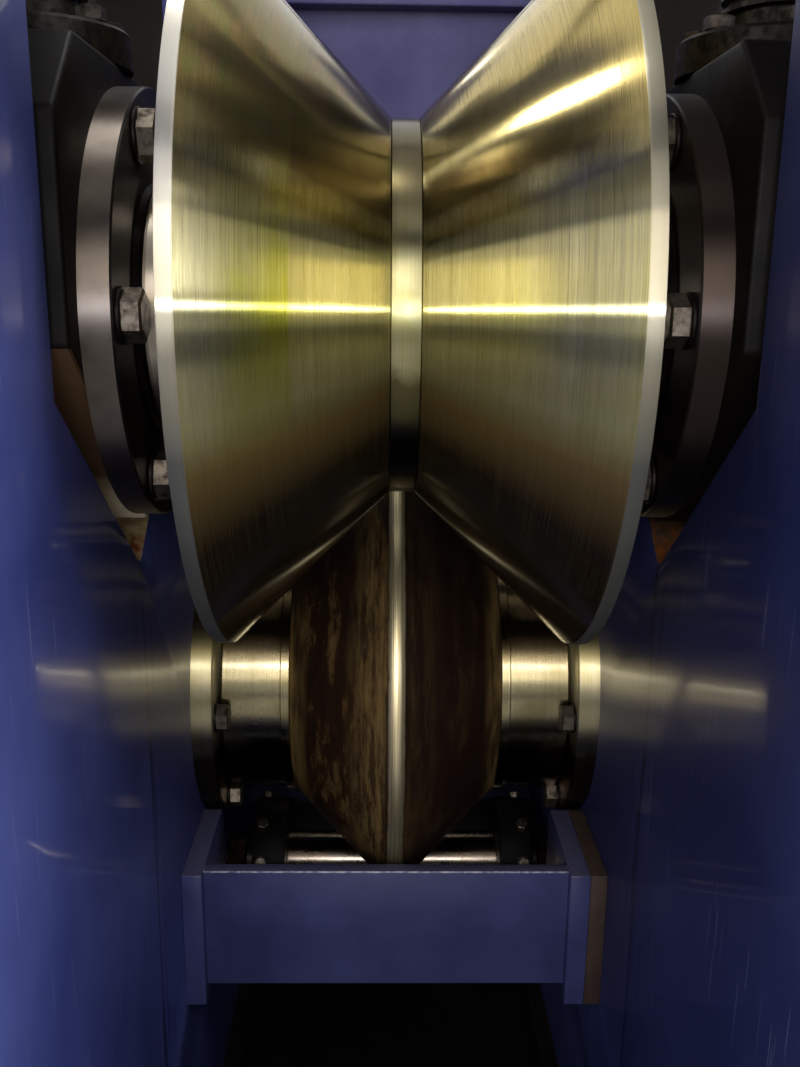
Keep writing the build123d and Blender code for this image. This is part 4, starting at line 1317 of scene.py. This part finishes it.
class StraightenerTieBars(bpy.types.Operator):
    """Builds the bright sleeves under the lower rolls with their black blocks, rods and nuts."""

    bl_idname = "straightener.tie_bars"
    bl_label = "Tie bars"

    def execute(self, context):
        plates = context.scene.straightener_plates
        steps = plates.small_steps
        block_in = BLOCK_OUT - BLOCK_THICK
        rod_radius = plates.rod_radius
        sleeve = turned([
            (-block_in, rod_radius),
            (-block_in, plates.sleeve_radius),
            (block_in, plates.sleeve_radius),
            (block_in, rod_radius),
        ], steps, BAR_EASE)
        rod = turned([(BLOCK_OUT, 0), (BLOCK_OUT, rod_radius), (WALL_IN, rod_radius), (WALL_IN, 0)], steps)
        block = turned([
            (block_in, rod_radius),
            (block_in, BLOCK_RADIUS),
            (BLOCK_OUT, BLOCK_RADIUS),
            (BLOCK_OUT, rod_radius),
        ], steps, 3 * MM)
        bolt = hex_head(0.8 * plates.block_bolt_flats, 7 * MM, plates.block_bolt_flats, 2 * MM, "bolt")
        bolt_x = BLOCK_OUT - 0.7 * plates.block_bolt_flats
        nut = hex_head(plates.nut_flats, plates.nut_height, plates.nut_flats * 1.15, 5 * MM, "rusty_nut")
        middles = []
        pairs = []
        bolts = []
        nuts = []
        for y, z in LOWER_AXES.values():
            y = y + BAR_Y
            middles.append(Matrix.Translation((0, y, BAR_Z)))
            pairs += both_sides(y, BAR_Z)
            for side in (-1, 1):
                # Small bolts stand on the round of each block, at its outer end
                for rise in map(math.radians, BLOCK_BOLTS):
                    out = Vector((0, -math.cos(rise), math.sin(rise)))
                    middle = Vector((side * bolt_x, y, BAR_Z))
                    bolts.append(facing(out, middle + out * (BLOCK_RADIUS - 1 * MM), 0.3))
                nuts.append(facing((-side, 0, 0), (side * WALL_IN, y, BAR_Z), 0.3))
        placed(sleeve, middles, "tie_bar_sleeves", "bar", "frame", "bar_steel", ["tie_bars"])
        placed(rod, pairs, "tie_bar_rods", "dark_bolt", "frame", "bar_steel")
        placed(block, pairs, "tie_bar_end_blocks", "block", "frame", "block_black", ["tie_bar_blocks"])
        placed(bolt, bolts, "tie_bar_block_bolts", None, "frame", "screw_steel")
        placed(nut, nuts, "tie_bar_nuts", None, "frame", "screw_steel")
        drop(sleeve, rod, block, bolt, nut)
        return {"FINISHED"}


# Screw-down on top

SCREW_LOW, SCREW_TOP = (corner[Z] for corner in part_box("lifting_screws_1"))
FOOT_RADIUS = half("lifting_screws_1", Y)
BOX_TOP = CAP_TOP + 180 * MM
# How far the bolts of a cap plate and of a box lid stand from the screw, across and along the machine
CAP_BOLTS = (55 * MM, 242 * MM)
LID_BOLTS = (60 * MM, 80 * MM)


class StraightenerScrews(bpy.types.Operator):
    """Builds the threaded lifting screws with their bolted round feet."""

    bl_idname = "straightener.screws"
    bl_label = "Lifting screws"

    def execute(self, context):
        plates = context.scene.straightener_plates
        foot_top = SCREW_LOW + plates.foot_thick
        screw = joined([self.thread(foot_top, plates), self.stem(foot_top, plates)])
        bolt = hex_head(22 * MM, 9 * MM, 26 * MM, 2.5 * MM, "dark_bolt")
        bolts_out = FOOT_RADIUS - 16 * MM
        for k, (y, z) in UPPER_AXES.items():
            unit = f"upper_unit_{k}"
            sides = [Matrix.Translation((side * WALL_MID, y, 0)) for side in (-1, 1)]
            placed(screw, sides, f"threaded_screws_{k}", "screw", unit, "screw_steel",
                   [f"lifting_screws_{k}"], 40)
            places = []
            for side in (-1, 1):
                for i in range(6):
                    angle = math.pi * (i + 0.5) / 3
                    x = side * WALL_MID + bolts_out * math.cos(angle)
                    point = (x, y + bolts_out * math.sin(angle), foot_top)
                    places.append(facing((0, 0, 1), point, 0.4 * i))
            placed(bolt, places, f"screw_foot_bolts_{k}", None, unit, "screw_steel")
        drop(screw, bolt)
        return {"FINISHED"}

    def thread(self, foot_top, plates):
        """A trapezoid thread: one tooth drawn, then wound up round the screw."""
        pitch = plates.thread_pitch
        root = plates.screw_radius - plates.thread_depth
        start = foot_top + pitch
        turns = int((SCREW_TOP - start) / pitch) - 2
        tooth = drawn([
            (root, start),
            (plates.screw_radius, start + 0.16 * pitch),
            (plates.screw_radius, start + 0.50 * pitch),
            (root, start + 0.66 * pitch),
            (root, start + pitch),
        ])
        bpy.ops.object.mode_set(mode="OBJECT")
        apply_modifier(tooth, "Thread", "SCREW", axis="Z", angle=2 * math.pi, screw_offset=pitch,
                       iterations=turns, steps=32, render_steps=32, use_merge_vertices=True,
                       merge_threshold=1e-5)
        edit(tooth)
        close_shell()
        leave_edit()
        return tooth

    def stem(self, foot_top, plates):
        """The core of the screw with its round foot below and its plain tip above."""
        core = plates.screw_radius - plates.thread_depth - 0.8 * MM
        chamfer = 3 * MM
        stem = turned([
            (SCREW_LOW, 0),
            (SCREW_LOW, FOOT_RADIUS),
            (foot_top - chamfer, FOOT_RADIUS),
            (foot_top, FOOT_RADIUS - chamfer),
            (foot_top, core + 2 * chamfer),
            (foot_top + 2 * chamfer, core),
            (SCREW_TOP - chamfer, core),
            (SCREW_TOP, core - chamfer),
            (SCREW_TOP, 0),
        ], plates.small_steps)
        stem.data.transform(Matrix.Rotation(-math.pi / 2, 4, "Y"))
        return stem


class StraightenerScrewBoxes(bpy.types.Operator):
    """Gives the screw gear boxes their eased edges, and adds shafts, lid bolts and cap bolts."""

    bl_idname = "straightener.screw_boxes"
    bl_label = "Screw boxes"

    def execute(self, context):
        plates = context.scene.straightener_plates
        boxes = eased_copy("screw_boxes", plates.plate_ease)
        settled(boxes, "screw_boxes_painted", "box", "frame", "box_blue", ["screw_boxes"])
        worms = eased_copy("worm_cross_shafts", BAR_EASE)
        settled(worms, "worm_shafts_bright", "screw", "frame", "screw_steel", ["worm_cross_shafts"])
        cap, lid = plates.cap_bolt_flats, plates.block_bolt_flats
        for flats, height, washer, washer_thick, apart, top, name in (
            (cap, 15 * MM, cap * 1.25, 4 * MM, CAP_BOLTS, CAP_TOP, "cap_plate_bolts"),
            (lid, 9 * MM, lid * 1.2, 2.5 * MM, LID_BOLTS, BOX_TOP, "screw_box_lid_bolts"),
        ):
            bolt = hex_head(flats, height, washer, washer_thick, "dark_bolt")
            places = []
            for y, z in UPPER_AXES.values():
                for x in (-WALL_MID, WALL_MID):
                    for dx, dy in ((-1, -1), (-1, 1), (1, -1), (1, 1)):
                        point = (x + dx * apart[0], y + dy * apart[1], top)
                        places.append(facing((0, 0, 1), point, 0.5 * dx + 0.2 * dy))
            placed(bolt, places, name, None, "frame", "screw_steel")
            drop(bolt)
        return {"FINISHED"}


# Stage: camera, floor and lamps

CAMERA_PLACE = (-16.5 * MM, -2145 * MM, 1278 * MM)
CAMERA_YAW = math.radians(0.97)
CAMERA_PITCH = math.radians(14.0)
CAMERA_ROLL = math.radians(0.6)
FOCAL_PIXELS = 1016
PICTURE_HEIGHT = 1067


class StraightenerStage(bpy.types.Operator):
    """Sets the camera at the photograph's angle, the pale floor, the lamps and the world."""

    bl_idname = "straightener.stage"
    bl_label = "Stage"

    def execute(self, context):
        scene = context.scene
        scene.view_settings.view_transform = "Standard"
        self.camera(scene)
        self.floor()
        self.world(scene)
        # Name, place, aim, width and height in metres, watts, colour, the way that the width lies, and what
        # the lamp is for: everything, reflections in gloss alone, or the light on matt surfaces alone
        level = (1, 0, 0)
        everything, gloss, matt = "everything", "gloss", "matt"
        lamps = [
            ("key_softbox", (-0.9, -6.0, 2.7), (0, -1.2, 1.1), 3.6, 2.4, 145, "#FFF8EE", level, everything),
            ("fill_softbox", (4.2, -3.6, 2.8), (0, 0, 0.9), 2.4, 2.4, 200, "#F2F5FF", level, everything),
            ("back_softbox", (-2.5, 4.6, 3.4), (0, 0.5, 1.0), 2.6, 2.0, 120, "#FFFFFF", level, everything),
            ("wall_light", (0.9, -3.0, 3.2), (-0.25, -1.55, 1.6), 0.8, 0.8, 28, "#FFFFFF", level, matt),
            ("camera_strip", (-0.017, -2.20, 1.300), (-0.017, -1.2, 1.2), 0.60, 0.012, 3.6, "#E8EEFF",
             level, gloss),
            ("tube_lamp", (-0.18, -1.311, 1.68), (0.118, -1.426, 1.40), 0.17, 0.034, 0.75, "#FFFFFF",
             (0.63, -0.78, 0), gloss),
        ]
        for row in lamps:
            self.lamp(*row)
        return {"FINISHED"}

    def camera(self, scene):
        """A camera at the photograph's place, looking down along the pass line."""
        data = bpy.data.cameras.new("photo_camera")
        data.sensor_width = 36.0
        data.sensor_fit = "AUTO"
        data.lens = data.sensor_width * FOCAL_PIXELS / PICTURE_HEIGHT
        data.clip_start = 0.01
        forward = Vector((
            math.sin(CAMERA_YAW) * math.cos(CAMERA_PITCH),
            math.cos(CAMERA_YAW) * math.cos(CAMERA_PITCH),
            -math.sin(CAMERA_PITCH),
        ))
        level = Vector((math.cos(CAMERA_YAW), -math.sin(CAMERA_YAW), 0))
        upright = level.cross(forward)
        right = level * math.cos(CAMERA_ROLL) + upright * math.sin(CAMERA_ROLL)
        above = right.cross(forward)
        turn = Matrix((right, above, -forward)).transposed().to_4x4()
        camera = bpy.data.objects.new("photo_camera", data)
        camera.matrix_world = Matrix.Translation(CAMERA_PLACE) @ turn
        scene.collection.objects.link(camera)
        scene.camera = camera

    def floor(self):
        """A wide floor of pale ground concrete, mottled softly."""
        bpy.ops.object.select_all(action="DESELECT")
        bpy.ops.mesh.primitive_plane_add(size=30, location=(0, 0, 0))
        floor = bpy.context.active_object
        floor.name = "pale_floor"
        material, node = new_finish("pale_floor")
        cloud = node("MapRange", [mottling(node, 120), 0.3, 0.7])
        colour = node("Mix", {"Factor": cloud, "A": linear("#D6D6D3"),
                              "B": linear("#E0E0DD")}, data_type="RGBA")
        surface = node("BsdfPrincipled", {"Base Color": colour, "Roughness": 0.8})
        node("OutputMaterial", {"Surface": surface})
        floor.data.materials.append(material)

    def world(self, scene):
        """An even pale surrounding light, white where the camera or a mirror sees it."""
        world = bpy.data.worlds.new("pale_room")
        scene.world = world
        world.use_nodes = True
        world.node_tree.nodes.clear()
        node = partial(add_node, world.node_tree)
        path = node("LightPath")
        mirrored = node("Math", [path.outputs["Is Glossy Ray"], path.outputs["Is Transmission Ray"]],
                        operation="MAXIMUM")
        seen = node("Math", [path.outputs["Is Camera Ray"], mirrored], operation="MAXIMUM")
        light = node("Background", {"Color": linear("#E4E8F0"), "Strength": 0.4})
        backdrop = node("Background", {"Color": linear("#FFFFFF"), "Strength": 1.0})
        mixed = node("MixShader", [seen, light, backdrop])
        node("OutputWorld", {"Surface": mixed})

    def lamp(self, name, place, target, width, height, power, colour, along, lights_up):
        """A rectangular lamp at a place, with its long side along a line and its face turned to a target."""
        data = bpy.data.lights.new(name, "AREA")
        data.shape = "RECTANGLE"
        data.size = width
        data.size_y = height
        data.energy = power
        data.color = linear(colour)[:3]
        lamp = bpy.data.objects.new(name, data)
        side = Vector(along).normalized()
        aim = Vector(target) - Vector(place)
        back = (aim.dot(side) * side - aim).normalized()
        turn = Matrix((side, back.cross(side), back)).transposed().to_4x4()
        lamp.matrix_world = Matrix.Translation(place) @ turn
        lamp.visible_camera = False
        lamp.visible_diffuse = lights_up != "gloss"
        lamp.visible_glossy = lights_up != "matt"
        bpy.context.scene.collection.objects.link(lamp)


class StraightenerPanel(bpy.types.Panel):
    """Lists the machine's pieces, sizes and colours in the sidebar."""

    bl_idname = "VIEW3D_PT_straightener"
    bl_label = "Straightener"
    bl_space_type = "VIEW_3D"
    bl_region_type = "UI"
    bl_category = "Straightener"

    def draw(self, context):
        for operator in OPERATORS:
            self.layout.operator(operator.bl_idname)
        for name, group in GROUPS.items():
            settings = getattr(context.scene, name)
            box = self.layout.box()
            box.label(text=group.bl_rna.description)
            for prop in group.__annotations__:
                box.prop(settings, prop)


GROUPS = {
    "straightener_rolls": StraightenerRolls,
    "straightener_bearings": StraightenerBearings,
    "straightener_plates": StraightenerPlateSizes,
    "straightener_colours": StraightenerColours,
}
OPERATORS = (
    StraightenerPlates,
    StraightenerUpperRolls,
    StraightenerLowerRolls,
    StraightenerChocks,
    StraightenerLowerBearings,
    StraightenerTieBars,
    StraightenerScrews,
    StraightenerScrewBoxes,
    StraightenerStage,
)
CLASSES = (*GROUPS.values(), *OPERATORS, StraightenerPanel)


def register():
    for one in CLASSES:
        bpy.utils.register_class(one)
    for name, group in GROUPS.items():
        setattr(bpy.types.Scene, name, bpy.props.PointerProperty(type=group))


def unregister():
    for name in GROUPS:
        delattr(bpy.types.Scene, name)
    for one in reversed(CLASSES):
        bpy.utils.unregister_class(one)


def main():
    """Builds every piece."""
    register()
    for operator in OPERATORS:
        group, name = operator.bl_idname.split(".")
        getattr(getattr(bpy.ops, group), name)()


if __name__ == "__main__":
    main()
